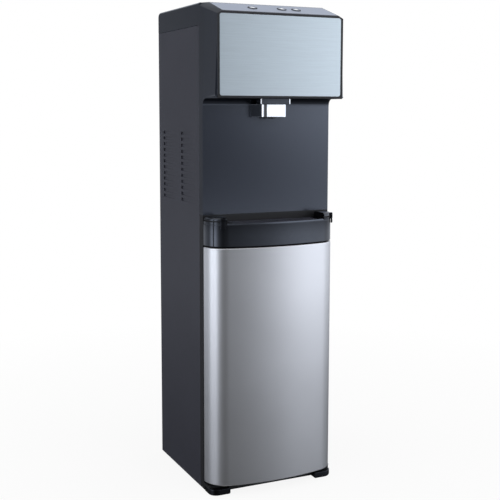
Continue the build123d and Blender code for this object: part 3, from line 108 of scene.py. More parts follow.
class HeadSizes(bpy.types.PropertyGroup):
    """Sizes of the head, the niche and the nozzle"""

    niche_y: length("Niche plane", "Y of the niche's face", -0.105)
    front_y: length("Head front", "Y of the head's front", -0.175)
    half_width: length("Front half width", "Half of the head's width at its front", 0.1496)
    niche_floor_z: length("Niche bottom", "Height of the moulding's lower edge", 0.624)
    low_z: length("Head bottom", "Height of the head's underside", 0.876)
    slope_low_z: length("Slope bottom", "Height of the slope's front edge", 1.056)
    slope_top_y: length("Slope top", "Y of the slope's rear edge", -0.100)
    fillet: length("Head fillet", "Hollow rounding between niche and head", 0.016)
    side_radius: length("Side rounding", "Rounding of the moulding's side edges", 0.0022)
    front_radius: length("Front rounding", "Rounding of the head's front edges", 0.0014)
    wall: length("Wall", "Thickness of the moulding", 0.003)
    border: length("Fascia border", "Width of the frame around the fascia", 0.0050)
    fascia_radius: length("Fascia radius", "Corner radius of the fascia", 0.0055)
    fascia_recess: length("Fascia recess", "Depth of the fascia's recess", 0.0012)
    fascia_sunk: length("Fascia sunk", "How far the fascia lies behind its frame", 0.0002)
    fascia_edge: length("Fascia edge", "Rounding of the fascia's front edges", 0.0004)
    facet_width: length("Facet width", "Width of the facets beside the slope, at the front", 0.0116)
    facet_fall: length("Facet fall", "How far a facet falls over its width", 0.006)
    strip_border: length("Strip border", "Width of the frame before and behind the control strip", 0.004)
    strip_side_border: length("Strip side border", "Gap between the strip and the facets", 0.0012)
    strip_thickness: length("Strip thickness", "Thickness of the control strip", 0.0015)
    strip_radius: length("Strip radius", "Corner radius of the control strip", 0.004)
    cut_reach: length("Cut reach", "How far a cut reaches past the face that it opens", 0.010)
    fit_gap: length("Fit gap", "Gap around fitted plates", 0.0002)
    edge: length("Small edge", "Rounding of small moulded edges", 0.0006)
    button_radius: length("Button radius", "Radius of a push button", 0.0105)
    button_gap: length("Button gap", "Gap around a push button", 0.0005)
    button_proud: length("Button height", "How far a button stands out", 0.0012)
    button_depth: length("Button depth", "Depth of a button under the strip", 0.0062)
    button_flange: length("Button flange", "Extra radius of a button's hidden flange", 0.002)
    flange_thickness: length("Flange thickness", "Thickness of a button's flange", 0.0015)
    # The dark ring is painted shade: it stands in for the shade in the gap and on the rounded edge around
    # each button
    button_shade_ring: length("Button ring", "Width of the dark ring on a button", 0.0016)
    # The pale disc is a painted highlight that stands in for the glint on each button's top
    button_highlight_radius: length("Button mark", "Radius of the pale mark on a button", 0.0050)
    button_pitch: length("Button pitch", "Grid on which the buttons lie", 0.035)
    button_left_x: length("First button", "X of the left button", -0.0525)
    nozzle_base_half: length("Nozzle base half width", "Half of the upper nozzle block's width", 0.036)
    nozzle_base_front: length("Nozzle base front", "Y of the upper nozzle block's front", -0.148)
    nozzle_base_back: length("Nozzle base back", "Y of the upper nozzle block's back", -0.122)
    nozzle_base_low_z: length("Nozzle base bottom", "Height of the upper nozzle block's underside", 0.864)
    nozzle_front_half: length("Nozzle front half width", "Half of the lower block's width in front", 0.027)
    nozzle_back_half: length("Nozzle back half width", "Half of the lower block's width at the niche", 0.042)
    nozzle_front: length("Nozzle front", "Y of the lower block's front", -0.144)
    nozzle_back: length("Nozzle back", "Y of the lower block's back", -0.1058)
    nozzle_low_z: length("Nozzle bottom", "Height of the lower block's underside", 0.836)
    nozzle_radius: length("Nozzle radius", "Rounding of the lower block's upright edges", 0.007)
    nozzle_back_edge: length("Nozzle back edge", "Rounding of the lower block's rear edges", 0.0022)
    nozzle_edge: length("Nozzle edge", "Rounding of the lower block's level edges", 0.0009)
    base_radius: length("Nozzle base radius", "Rounding of the upper block's upright edges", 0.0035)
    spout_y: length("Spout", "Y of the water outlet", -0.125)
    spout_radius: length("Spout radius", "Radius of the outlet's socket", 0.009)
    spout_depth: length("Spout depth", "Depth of the outlet's socket", 0.012)
    collar_half: length("Collar half width", "Half of the collar's width through the head", 0.022)
    collar_depth: length("Collar depth", "Depth of the collar through the head", 0.014)
    collar_height: length("Collar height", "Height of the collar inside the head", 0.011)


class FrontSizes(bpy.types.PropertyGroup):
    """Sizes of the bowed door, the tray band, the drip tray and the feet"""

    reach: length("Bow reach", "How far the bow stands before the niche plane", 0.065)
    corner: length("Corner radius", "Radius of the bow's two corners", 0.052)
    straight: length("Side straight", "Straight stretch behind the corners", 0.001)
    door_back: length("Door back", "Gap from the niche plane to the door's back", 0.003)
    door_low_z: length("Door bottom", "Height of the door's lower edge", 0.0245)
    door_top_z: length("Door top", "Height of the door's upper edge", 0.555)
    door_skin: length("Door skin", "Thickness of the door's skin", 0.0015)
    door_edge: length("Door edge", "Rounding of the door's upper and lower edges", 0.0022)
    hinge_x: length("Hinge", "X of the door's hinge", 0.148)
    hinge_reach: length("Hinge reach", "How far the hinge stands before the niche plane", 0.010)
    pin_hole: length("Pin hole", "Radius of the hinge pins' holes", 0.0035)
    pin_depth: length("Pin depth", "Depth of the upper hinge pin's hole", 0.0364)
    band_low_z: length("Band bottom", "Height of the tray band's lower edge", 0.558)
    band_top_z: length("Band top", "Height of the tray band's upper edge", 0.6055)
    band_inset: length("Band inset", "How far the band lies inside the door's outline", 0.0004)
    band_edge: length("Band edge", "Rounding of the band's edges", 0.0010)
    well_inset: length("Well inset", "Thickness of the band's wall", 0.007)
    well_half: length("Well half width", "Half of the well's width", 0.138)
    well_floor_z: length("Well floor", "Height of the well's floor", 0.562)
    tray_top_z: length("Tray top", "Height of the drip tray's rim", 0.609)
    rim_bevel: length("Rim bevel", "Height of the bevel along the rim", 0.0031)
    rim_bevel_depth: length("Rim bevel depth", "How far the bevel leans back", 0.0019)
    tray_inset: length("Tray inset", "How far the rim lies inside the door's outline", 0.0008)
    tray_back: length("Tray back", "Gap between the rim and the niche plane", 0.0005)
    tub_inset: length("Tub inset", "How far the tub lies inside the outline", 0.0075)
    tub_half: length("Tub half width", "Half of the tub's width", 0.1375)
    tub_low_z: length("Tub bottom", "Height of the tub's underside", 0.5625)
    tub_floor_z: length("Tub floor", "Height of the tub's floor", 0.5645)
    recess_inset: length("Recess inset", "Inset of the grille's recess", 0.0095)
    recess_half: length("Recess half width", "Half of the recess's width", 0.103)
    recess_z: length("Recess floor", "Height of the ledge under the grille", 0.6054)
    opening_inset: length("Opening inset", "Inset of the tray's opening", 0.0125)
    opening_half: length("Opening half width", "Half of the opening's width", 0.100)
    left_clip_turn: angle("Left clip", "Where the left clip sits on its corner", 62.0)
    right_clip_turn: angle("Right clip", "Where the right clip sits on its corner", 30.0)
    clip_foot: length("Clip foot", "Height of the thicker lower end of a clip", 0.0085)
    clip_proud: length("Clip proud", "How far a clip's lower end stands out", 0.0007)
    clip_rim: length("Clip rim", "Width of the rim around a clip's raised faces", 0.00132)
    clip_edge: length("Clip edge", "Rounding of a clip's outer edges", 0.00049)
    clip_width: length("Clip width", "Width of a corner clip", 0.011)
    clip_thickness: length("Clip thickness", "Thickness of a corner clip", 0.0035)
    clip_gap: length("Clip gap", "Gap between a clip and the band", 0.0005)
    clip_low_z: length("Clip bottom", "Height of a clip's lower end", 0.597)
    clip_top_z: length("Clip top", "Height of a clip's upper end", 0.620)
    cap_x: length("Cap", "X of an end cap's inner end", 0.119)
    cap_top_z: length("Cap top", "Height of an end cap", 0.622)
    cap_rounding: length("Cap rounding", "Rounding of an end cap's upper edges", 0.0070)
    cap_end: length("Cap end", "Rounding of an end cap's inner end", 0.0021)
    groove_z: length("Groove", "Height of the groove around an end cap", 0.613)
    groove: length("Groove depth", "Depth of the groove around an end cap", 0.0030)
    groove_half: length("Groove half height", "Half of the groove's height", 0.0013)
    foot_half: length("Foot half width", "Half of a front foot's width", 0.023)
    foot_x: length("Foot", "X of a front foot's middle", 0.130)
    foot_depth: length("Foot depth", "Depth of a front foot", 0.039)
    foot_height: length("Foot height", "Height of a front foot", 0.014)
    foot_corner: length("Foot corner", "Rounding of a foot's outer corner", 0.020)
    foot_chamfer: length("Foot chamfer", "Chamfer around a foot's underside", 0.0040)
    foot_stem: length("Foot stem", "Radius of a foot's stem", 0.004)
    foot_stem_top: length("Stem top", "Height of a foot's stem", 0.019)
    foot_stem_reach: length("Stem reach", "How far a stem stands before the niche plane", 0.012)


class BackSizes(bpy.types.PropertyGroup):
    """Sizes of the condenser on the back"""

    tube_y: length("Tube", "Y of the condenser tube", 0.1675)
    web_y: length("Web", "Y of the rear panel's outer face", 0.161)
    tube_radius: length("Tube radius", "Radius of the condenser tube", 0.0025)
    half_width: length("Half width", "Half of the tube's straight width", 0.110)
    inlet_x: length("Inlet", "X of the tube's inlet", 0.122)
    top_z: length("Top", "Height of the first pass", 1.000)
    pitch: length("Pitch", "Distance from pass to pass", 0.032)
    bend: length("Bend", "Radius of the tube's bends", 0.014)
    inlet_bend: length("Inlet bend", "Radius of the bend at the inlet", 0.004)
    passes: whole("Passes", "Number of passes", 11)


class Finishes(bpy.types.PropertyGroup):
    """Colours of the finishes"""

    panel: colour("Side panels", "Satin paint of the side panels and the grille", "#373842")
    moulding: colour("Moulding", "Satin plastic of head and niche", "#171A23")
    gleam: colour("Gleam", "Cool tint of the reflections on black plastic", "#E2EBFA")
    steel: colour("Fascia", "Brushed steel of the fascia", "#C6D0D3")
    strip: colour("Control strip", "Silver of the control strip", "#B0B7C4")
    gloss: colour("Gloss black", "Gloss plastic of the band and the nozzle base", "#0C0C0E")
    door: colour("Door", "Metallic lacquer of the door", "#D8D9DB")
    chrome: colour("Chrome", "Plated nozzle block", "#E6E8EA")
    matte: colour("Matte black", "Matte plastic of base, frame and fittings", "#131315")
    liner: colour("Liner", "White plastic of the bay and the door's inside", "#D8D9D6")
    zinc: colour("Zinc", "Zinc plate of pins, screws and plates", "#A9ABAF")
    galvanised: colour("Galvanised", "Galvanised sheet of rear panel and shelves", "#9DA1A5")
    enamel: colour("Enamel", "Black enamel of condenser and compressor", "#121213")
    rubber: colour("Rubber", "Rubber of mounts, bumpers and rear feet", "#161616")
    copper: colour("Copper", "Bare copper of the refrigerant pipes", "#C77F5C")
    foam: colour("Foam", "White foam around the tanks", "#E4E4E0")
    hose: colour("Hose", "Milky plastic of the water pipes", "#C4C9CC")
    board: colour("Board", "Green laminate of the boards", "#1E5A36")
    # White of the painted highlight on the buttons
    mark: colour("Mark", "Pale mark on the buttons", "#F4F6F8")


class StudioSettings(bpy.types.PropertyGroup):
    """Camera, lamps and floor"""

    lens: number("Lens", "Focal length in millimetres", 68.84)
    sensor: number("Sensor", "Width of the camera's sensor in millimetres", 36.0)
    shift: number("Shift", "Vertical shift of the camera", -0.06)
    camera_x: length("Camera X", "X of the camera", -0.9321)
    camera_y: length("Camera Y", "Y of the camera", -2.0206)
    camera_z: length("Camera height", "Height of the camera", 0.8503)
    yaw: angle("Yaw", "Turn to the right", 24.907)
    pitch: angle("Pitch", "Look down", 6.532)
    roll: angle("Roll", "Tilt", -0.096)
    fill: number("Fill", "Strength of the fill light from above", 0.5)
    low_fill: number("Low fill", "Strength of the fill light from below", 0.2)
    screen: number("Screen", "Strength of the reflection screen", 1.5)
    screen_radius: length("Screen radius", "Radius of the reflection screen", 3.0)
    screen_low_z: length("Screen bottom", "Height of the reflection screen's lower edge", -12.0)
    screen_high_z: length("Screen top", "Height of the reflection screen's upper edge", 5.0)
    floor_size: length("Floor", "Size of the floor", 14.0)
    shadow_reach: length("Shadow reach", "How far from the middle the floor shows the full shadow", 0.3)
    white_reach: length("White reach", "Where the floor has run out into the background", 1.6)
    floor_white: number("Floor white", "Share of plain white near the object", 0.90)
    floor: colour("Floor", "Pale studio floor", "#F4F4F4")
    screen_colour: colour("Screen colour", "Cool white of the reflection screen", "#EFF4FF")


GROUPS = (CabinetSizes, HeadSizes, FrontSizes, BackSizes, Finishes, StudioSettings)
GROUP_NAMES = ("cabinet", "head", "front", "back", "finishes", "studio")


def settings(name):
    """The property group of that name on the scene."""
    return getattr(bpy.context.scene, "dispenser_" + name)


# Modelling helpers

# Points closer than this count as one, and what lies this close to a plane counts as on it
TOUCH = 1e-5
# A wider margin, for tests on rounded shapes
MARGIN = 1e-4
# Share of a face's normal along an axis from which it faces that way, and from which it is level
FACING = 0.9
LEVEL = 0.99


def near(value, other, within=TOUCH):
    """Whether two lengths are the same within a margin."""
    return abs(value - other) < within


def edge_at(edge, axis, value):
    """Whether both ends of an edge lie at a place along an axis."""
    return all(near(getattr(vertex.co, axis), value) for vertex in edge.verts)


def face_at(face, axis, value):
    """Whether the middle of a face lies at a place along an axis."""
    return near(getattr(face.calc_center_median(), axis), value)


def span(edge, axis):
    """How far an edge runs along an axis."""
    first, second = edge.verts
    return abs(getattr(first.co, axis) - getattr(second.co, axis))


def clear_selection():
    """Leaves edit mode and deselects everything."""
    if bpy.context.mode != "OBJECT":
        bpy.ops.object.mode_set(mode="OBJECT")
    bpy.ops.object.select_all(action="DESELECT")


def make_active(piece):
    """Selects one piece alone."""
    clear_selection()
    piece.select_set(True)
    bpy.context.view_layer.objects.active = piece


def begin_edit(piece, kind, test=None):
    """Opens a piece in edit mode, with only those elements selected that pass a test."""
    make_active(piece)
    bpy.ops.object.mode_set(mode="EDIT")
    bpy.ops.mesh.select_mode(type=kind)
    bpy.ops.mesh.select_all(action="DESELECT")
    if test:
        pick(piece, kind, test)


def begin_whole(piece, kind):
    """Opens a piece in edit mode with all of it selected."""
    begin_edit(piece, kind)
    bpy.ops.mesh.select_all(action="SELECT")


def end_edit():
    """Back to object mode."""
    bpy.ops.object.mode_set(mode="OBJECT")


def pick(piece, kind, test):
    """Selects the open piece's vertices, edges or faces that pass a test."""
    mesh = bmesh.from_edit_mesh(piece.data)
    mesh.normal_update()
    elements = {"VERT": mesh.verts, "EDGE": mesh.edges, "FACE": mesh.faces}[kind]
    chosen = [element for element in elements if test(element)]
    if not chosen:
        raise RuntimeError(f"nothing to select on {piece.name}")
    for element in chosen:
        element.select_set(True)
    mesh.select_flush_mode()
    bmesh.update_edit_mesh(piece.data)


def apply_place(piece):
    """Moves a piece's place, turn and scale into its mesh."""
    make_active(piece)
    bpy.ops.object.transform_apply(location=True, rotation=True, scale=True)


def apply_modifier(piece, kind, **options):
    """Gives a piece a modifier with its settings and applies it."""
    make_active(piece)
    modifier = piece.modifiers.new(kind, kind)
    for key, value in options.items():
        setattr(modifier, key, value)
    bpy.ops.object.modifier_apply(modifier=modifier.name)


def name_new(name):
    """Names the shape that was just added and moves its place into its mesh."""
    piece = bpy.context.object
    piece.name = name
    apply_place(piece)
    return piece


def add_box(name, corner, opposite):
    """A box between two corners, the start of a piece."""
    clear_selection()
    low = Vector([min(pair) for pair in zip(corner, opposite)])
    high = Vector([max(pair) for pair in zip(corner, opposite)])
    bpy.ops.mesh.primitive_cube_add(size=1.0, location=(low + high) / 2)
    bpy.context.object.scale = high - low
    return name_new(name)


def add_cylinder(name, place, radius, depth, sides=64):
    """An upright cylinder about its middle, the start of a round piece."""
    clear_selection()
    bpy.ops.mesh.primitive_cylinder_add(vertices=sides, radius=radius, depth=depth, location=place)
    return name_new(name)


def bevel_edges(piece, width, segments, test):
    """Rounds the edges that pass a test."""
    begin_edit(piece, "EDGE", test)
    bpy.ops.mesh.bevel(offset=width, segments=segments, profile=0.5, affect="EDGES", clamp_overlap=True)
    end_edit()


def move_vertices(piece, test, step):
    """Shifts the vertices that pass a test."""
    begin_edit(piece, "VERT", test)
    bpy.ops.transform.translate(value=step)
    end_edit()


def delete_faces(piece, test):
    """Opens a piece where its faces pass a test."""
    begin_edit(piece, "FACE", test)
    bpy.ops.mesh.delete(type="FACE")
    end_edit()


def give_wall(piece, thickness):
    """Gives an open shell its thickness, inwards."""
    apply_modifier(piece, "SOLIDIFY", thickness=thickness, offset=-1.0, use_even_offset=True)


def cut(piece, other, operation="DIFFERENCE"):
    """Cuts one closed shape out of a piece, or fuses it with the piece, and removes that shape."""
    apply_modifier(piece, "BOOLEAN", operation=operation, solver="EXACT", object=other)
    make_active(other)
    bpy.ops.object.delete()


def join(name, pieces):
    """Joins shapes into one piece."""
    clear_selection()
    for piece in pieces:
        piece.select_set(True)
    bpy.context.view_layer.objects.active = pieces[0]
    bpy.ops.object.join()
    pieces[0].name = name
    return pieces[0]


def face_outwards(piece):
    """Merges doubles and turns all faces outwards."""
    begin_whole(piece, "VERT")
    bpy.ops.mesh.remove_doubles(threshold=TOUCH)
    bpy.ops.mesh.normals_make_consistent(inside=False)
    end_edit()


def turn_shell(piece, rank, axis, sign):
    """Flips an open shell whose highest-ranked face looks the wrong way along an axis."""
    begin_whole(piece, "FACE")
    leader = max(bmesh.from_edit_mesh(piece.data).faces, key=rank)
    if getattr(leader.normal, axis) * sign < 0:
        bpy.ops.mesh.flip_normals()
    end_edit()


def drop_slivers(piece):
    """Dissolves edges and faces without any size, which a cut can leave."""
    begin_whole(piece, "VERT")
    bpy.ops.mesh.dissolve_degenerate(threshold=TOUCH)
    end_edit()


def smooth(piece, degrees=35.0):
    """Smooth shading that keeps edges sharper than an angle and leaves large faces flat."""
    make_active(piece)
    bpy.ops.object.shade_smooth_by_angle(angle=radians(degrees))
    apply_modifier(piece, "WEIGHTED_NORMAL", keep_sharp=True)


def start_line(name, place):
    """A single vertex, from which a line is drawn in edit mode."""
    clear_selection()
    bpy.ops.mesh.primitive_plane_add(size=0.001, location=place)
    piece = name_new(name)
    begin_whole(piece, "VERT")
    bpy.ops.mesh.merge(type="CENTER")
    return piece


def draw_step(step):
    """Draws on by one straight step, with all that is selected."""
    bpy.ops.mesh.extrude_region_move(TRANSFORM_OT_translate={"value": step})


def draw_arc(center, axis, turn, steps):
    """Draws on along an arc about an axis, turning by the right-hand rule."""
    bpy.ops.mesh.spin(steps=steps, angle=-turn, center=center, axis=axis)


def close_line(piece):
    """Joins the line's two ends into a loop."""
    bpy.ops.mesh.select_all(action="DESELECT")
    pick(piece, "VERT", lambda v: len(v.link_edges) < 2)
    bpy.ops.mesh.edge_face_add()


def bow():
    """Radius of the bow and the turn at which it meets its corners."""
    front = settings("front")
    half = settings("cabinet").half_width
    corner_x = half - front.corner
    depth = front.reach - front.straight
    radius = (corner_x**2 + depth**2 - front.corner**2) / (2 * (depth - front.corner))
    return corner_x, radius, atan2(radius - depth, corner_x)


def ahead(reach):
    """Y of a place that lies reach in front of the niche plane."""
    return settings("head").niche_y - reach


def draw_front(name, z, inset, half, back, corner_steps=18, bow_steps=40):
    """Draws the bowed front outline at a height, from its right rear end round to its left rear end."""
    front = settings("front")
    corner_x, radius, meet = bow()
    corner_y = ahead(front.straight)
    corner = front.corner - inset
    bow_center_y = ahead(front.reach) + radius
    bow_radius = radius - inset
    side = min(half, settings("cabinet").half_width - inset)
    on_bow = side <= corner_x + corner * cos(meet)
    turn = meet
    start = 0.0
    if on_bow:
        turn = acos(side / bow_radius)
        front_y = bow_center_y - bow_radius * sin(turn)
    else:
        start = acos(min(1.0, (side - corner_x) / corner))
        if start < asin(max(0.0, min(1.0, (back - front.straight) / corner))):
            start = asin((back - front.straight) / corner)
            side = corner_x + corner * cos(start)
        front_y = corner_y - corner * sin(start)
    piece = start_line(name, (side, ahead(back), z))
    step = front_y - ahead(back)
    if not near(step, 0.0):
        draw_step((0, step, 0))
    if not on_bow:
        draw_arc((corner_x, corner_y, z), (0, 0, 1), start - meet, corner_steps)
    draw_arc((0, bow_center_y, z), (0, 0, 1), 2 * turn - pi, bow_steps)
    if not on_bow:
        draw_arc((-corner_x, corner_y, z), (0, 0, 1), start - meet, corner_steps)
    if not near(step, 0.0):
        draw_step((0, -step, 0))
    return piece


def block(name, low, high, inset, half, back):
    """A solid between two heights with the bowed front outline."""
    return loft(name, [(low, inset, half, back), (high, inset, half, back)])


def loft(name, loops):
    """Bridges closed outlines, each a height, inset, half width and back, and caps both ends."""
    pieces = []
    for index, (z, inset, half, back) in enumerate(loops):
        piece = draw_front(f"{name}_{index}", z, inset, half, back)
        close_line(piece)
        end_edit()
        group = piece.vertex_groups.new(name=f"loop_{index}")
        group.add(range(len(piece.data.vertices)), 1.0, "REPLACE")
        pieces.append(piece)
    piece = join(name, pieces)
    last = len(loops) - 1
    for index in range(last):
        select_loops(piece, (index, index + 1))
        bpy.ops.mesh.bridge_edge_loops()
        end_edit()
    for index in (0, last):
        select_loops(piece, (index,))
        bpy.ops.mesh.edge_face_add()
        end_edit()
    piece.vertex_groups.clear()
    face_outwards(piece)
    return piece


def select_loops(piece, numbers):
    """Opens a loft with some of its outlines selected."""
    begin_edit(piece, "EDGE")
    for number in numbers:
        piece.vertex_groups.active_index = piece.vertex_groups[f"loop_{number}"].index
        bpy.ops.object.vertex_group_select()


# Materials


def linear(hex_value):
    """An sRGB hex value as a linear colour."""
    parts = [int(hex_value[i : i + 2], 16) / 255 for i in (1, 3, 5)]
    return [p / 12.92 if p <= 0.04045 else ((p + 0.055) / 1.055) ** 2.4 for p in parts] + [1.0]


def per_metre(size_mm):
    """Texture scale at which one feature measures size_mm."""
    return 1000.0 / size_mm


def add_node(tree, kind, values=None, links=None, stops=(), **options):
    """One node with its settings, its values, the links into it and the stops of its ramp."""
    node = tree.nodes.new(kind)
    for index, (position, colour_value) in enumerate(stops):
        ramp = node.color_ramp.elements
        element = ramp[index] if index < 2 else ramp.new(position)
        element.position = position
        element.color = colour_value
    for key, value in options.items():
        setattr(node, key, value)
    for socket, value in (values or {}).items():
        node.inputs[socket].default_value = value
    for socket, source in (links or {}).items():
        tree.links.new(source, node.inputs[socket])
    return node


def start_material(name):
    """An empty node material with its output and Object coordinates."""
    material = bpy.data.materials.new(name)
    material.use_nodes = True
    tree = material.node_tree
    tree.nodes.clear()
    output = add_node(tree, "ShaderNodeOutputMaterial")
    place = add_node(tree, "ShaderNodeTexCoord")
    return material, tree, output, place.outputs["Object"]


def spread_stops(base, spread):
    """Ramp stops that vary a base colour a little to both sides."""
    darker = [c * (1 - spread) for c in base[:3]] + [1.0]
    lighter = [min(1.0, c * (1 + spread)) for c in base[:3]] + [1.0]
    return [(0.3, darker), (0.7, lighter)]


# Size in millimetres of the slow cloudiness in a surface's colour
CLOUD_MM = 140.0
# Height in metres of a surface's finest relief
RELIEF = 0.0002
# How far the roughness swings to both sides, with the grain and along brushed streaks
GRAIN_SWING = 0.05
STREAK_SWING = 0.06


def dress(tree, output, grain, shade, stops, roughness, swing, bump, values):
    """Colour from one pattern, roughness and relief from another, on one shader."""
    fine = grain.outputs["Fac"]
    tint = add_node(tree, "ShaderNodeValToRGB", links={"Fac": shade.outputs["Fac"]}, stops=stops)
    ends = {"To Min": roughness - swing, "To Max": roughness + swing}
    rough = add_node(tree, "ShaderNodeMapRange", ends, {"Value": fine})
    relief = add_node(tree, "ShaderNodeBump", {"Strength": bump, "Distance": RELIEF}, {"Height": fine})
    links = {
        "Base Color": tint.outputs["Color"],
        "Roughness": rough.outputs["Result"],
        "Normal": relief.outputs["Normal"],
    }
    shader = add_node(tree, "ShaderNodeBsdfPrincipled", values, links)
    tree.links.new(shader.outputs["BSDF"], output.inputs["Surface"])


def grained(
    name, hex_value, grain_mm, roughness, spread, bump, metallic=0.0, ior=1.5, gleam="#FFFFFF"
):
    """A moulded, painted or plated surface: fine grain in roughness and relief, and slow cloudiness."""
    material, tree, output, place = start_material(name)
    grain_values = {"Scale": per_metre(grain_mm), "Detail": 3.0, "Roughness": 0.6}
    grain = add_node(tree, "ShaderNodeTexNoise", grain_values, {"Vector": place})
    cloud_values = {"Scale": per_metre(CLOUD_MM), "Detail": 2.0}
    cloud = add_node(tree, "ShaderNodeTexNoise", cloud_values, {"Vector": place})
    stops = spread_stops(linear(hex_value), spread)
    values = {"Metallic": metallic, "IOR": ior, "Specular Tint": linear(gleam)}
    dress(tree, output, grain, cloud, stops, roughness, GRAIN_SWING, bump, values)
    return material


def brushed(name, hex_value, line_mm, run_mm, roughness, spread, bump):
    """Metal brushed along X: long thin streaks in colour, roughness and relief."""
    material, tree, output, place = start_material(name)
    scale = (per_metre(run_mm), per_metre(line_mm), per_metre(line_mm))
    stretch = add_node(tree, "ShaderNodeMapping", {"Scale": scale}, {"Vector": place})
    streak_values = {"Scale": 1.0, "Detail": 4.0, "Roughness": 0.7}
    streaks = add_node(tree, "ShaderNodeTexNoise", streak_values, {"Vector": stretch.outputs["Vector"]})
    stops = spread_stops(linear(hex_value), spread)
    dress(tree, output, streaks, streaks, stops, roughness, STREAK_SWING, bump, {"Metallic": 1.0})
    return material


def make_finishes():
    """All finishes, by the name that the pieces use: grain in mm, roughness, spread of colour, relief."""
    hexes = settings("finishes")
    return {
        # Powder-coated sheet: a faint orange-peel that only softens the reflections
        "panel": grained("satin_powder_coat", hexes.panel, 2.2, 0.42, 0.05, 0.06),
        # Satin ABS: a fine even grain with a broad soft sheen
        "moulding": grained("satin_abs", hexes.moulding, 1.8, 0.22, 0.05, 0.04, ior=1.9, gleam=hexes.gleam),
        # Brushed stainless steel: the real lines are finer than a pixel, so they are drawn about 2 mm wide
        "steel": brushed("brushed_stainless", hexes.steel, 2.0, 70.0, 0.38, 0.05, 0.05),
        # Satin anodised aluminium: smoother than brushed steel, with a slight cloud
        "strip": grained("satin_anodised_aluminium", hexes.strip, 1.5, 0.34, 0.03, 0.03, metallic=1.0),
        # Polished ABS: deep black with a clear gloss and hardly any relief
        "gloss": grained("polished_abs", hexes.gloss, 6.0, 0.10, 0.05, 0.01, ior=1.6, gleam=hexes.gleam),
        # Metallic lacquer: fine flake under a clear coat, drawn coarser than the real flake
        "door": grained("metallic_lacquer", hexes.door, 1.4, 0.34, 0.03, 0.03, metallic=0.85),
        # Chrome plate: a mirror, softened a little by the moulding under it
        "chrome": grained("chrome_plate", hexes.chrome, 9.0, 0.08, 0.01, 0.01, metallic=1.0),
        # Moulded polypropylene: flat black, slightly dusty
        "matte": grained("moulded_polypropylene", hexes.matte, 1.6, 0.55, 0.12, 0.10),
        # Vacuum-formed polystyrene: smooth off-white with a soft sheen
        "liner": grained("formed_polystyrene", hexes.liner, 3.0, 0.40, 0.02, 0.05),
        # Zinc plate: bright grey with fine mottling
        "zinc": grained("zinc_plate", hexes.zinc, 1.2, 0.32, 0.08, 0.06, metallic=1.0),
        # Galvanised sheet: broad crystal patches
        "galvanised": grained("galvanised_sheet", hexes.galvanised, 7.0, 0.42, 0.10, 0.04, metallic=1.0),
        # Black stoving enamel: semi-gloss over drawn wire and tube
        "enamel": grained("stoving_enamel", hexes.enamel, 1.5, 0.35, 0.06, 0.08),
        # Moulded rubber: dull and a little grainy
        "rubber": grained("moulded_rubber", hexes.rubber, 1.0, 0.75, 0.10, 0.15),
        # Drawn copper: warm, with darker patches from brazing
        "copper": grained("drawn_copper", hexes.copper, 4.0, 0.30, 0.12, 0.03, metallic=1.0),
        # Expanded polystyrene: beads about 3 mm across
        "foam": grained("expanded_polystyrene", hexes.foam, 3.0, 0.80, 0.02, 0.30),
        # Extruded polyethylene tube: milky and smooth
        "hose": grained("milky_polyethylene", hexes.hose, 5.0, 0.38, 0.03, 0.02),
        # Glass-fibre laminate: green lacquer over a weave
        "board": grained("green_laminate", hexes.board, 1.0, 0.40, 0.08, 0.05),
        # Painted highlight on the buttons: a flat white disc that stands in for the glint on each button's
        # top
        "mark": grained("painted_highlight_white", hexes.mark, 1.0, 0.50, 0.01, 0.02),
    }


# Pieces that keep their shape, by finish
NODE_FINISHES = {
    "matte": (
        "base_pan", "button_switches", "spout_insert", "front_frame", "door_hinge_blocks", "condenser_clips",
        "water_pump", "mains_gland", "drain_plug", "switch_frame", "heater_rocker", "cooler_rocker",
    ),
    "rubber": ("rear_feet", "door_bumpers", "compressor_mounts"),
    "galvanised": ("rear_panel", "machine_deck", "tank_shelf"),
    "zinc": (
        "rear_screws", "lower_hinge", "hinge_screws", "upper_hinge_pin", "strike_plate", "cold_tank",
        "hot_tank", "heater_band",
    ),
    "board": ("button_board", "power_board"),
    "panel": ("drip_grille",),
    "enamel": ("magnet_catch", "compressor", "condenser_wires"),
    "liner": ("bay_liner", "suction_fitting", "door_liner", "solenoid_valves"),
    "copper": ("discharge_pipe", "evaporator_coil"),
    "foam": ("cold_tank_jacket", "cold_tank_lid", "hot_tank_jacket"),
    "hose": ("outlet_pipes", "water_pipes"),
}

finishes = {}


def finish_piece(piece, body, node, finish):
    """Gives a new piece its finish, its body and the node it stands for."""
    piece.data.materials.clear()
    piece.data.materials.append(finishes[finish])
    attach(piece, body)
    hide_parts(node)


def paint(piece, finish, test):
    """Gives the faces that pass a test another finish."""
    piece.data.materials.append(finishes[finish])
    for face in piece.data.polygons:
        if test(face):
            face.material_index = len(piece.data.materials) - 1


# Operators


class DISPENSER_OT_finishes(bpy.types.Operator):
    """Make the finishes and give them to the pieces that keep their shape"""

    bl_idname = "dispenser.finishes"
    bl_label = "Finishes"

    def execute(self, context):
        finishes.update(make_finishes())
        for finish, nodes in NODE_FINISHES.items():
            for node in nodes:
                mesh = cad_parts[node].data
                mesh.materials.clear()
                mesh.materials.append(finishes[finish])
        return {"FINISHED"}


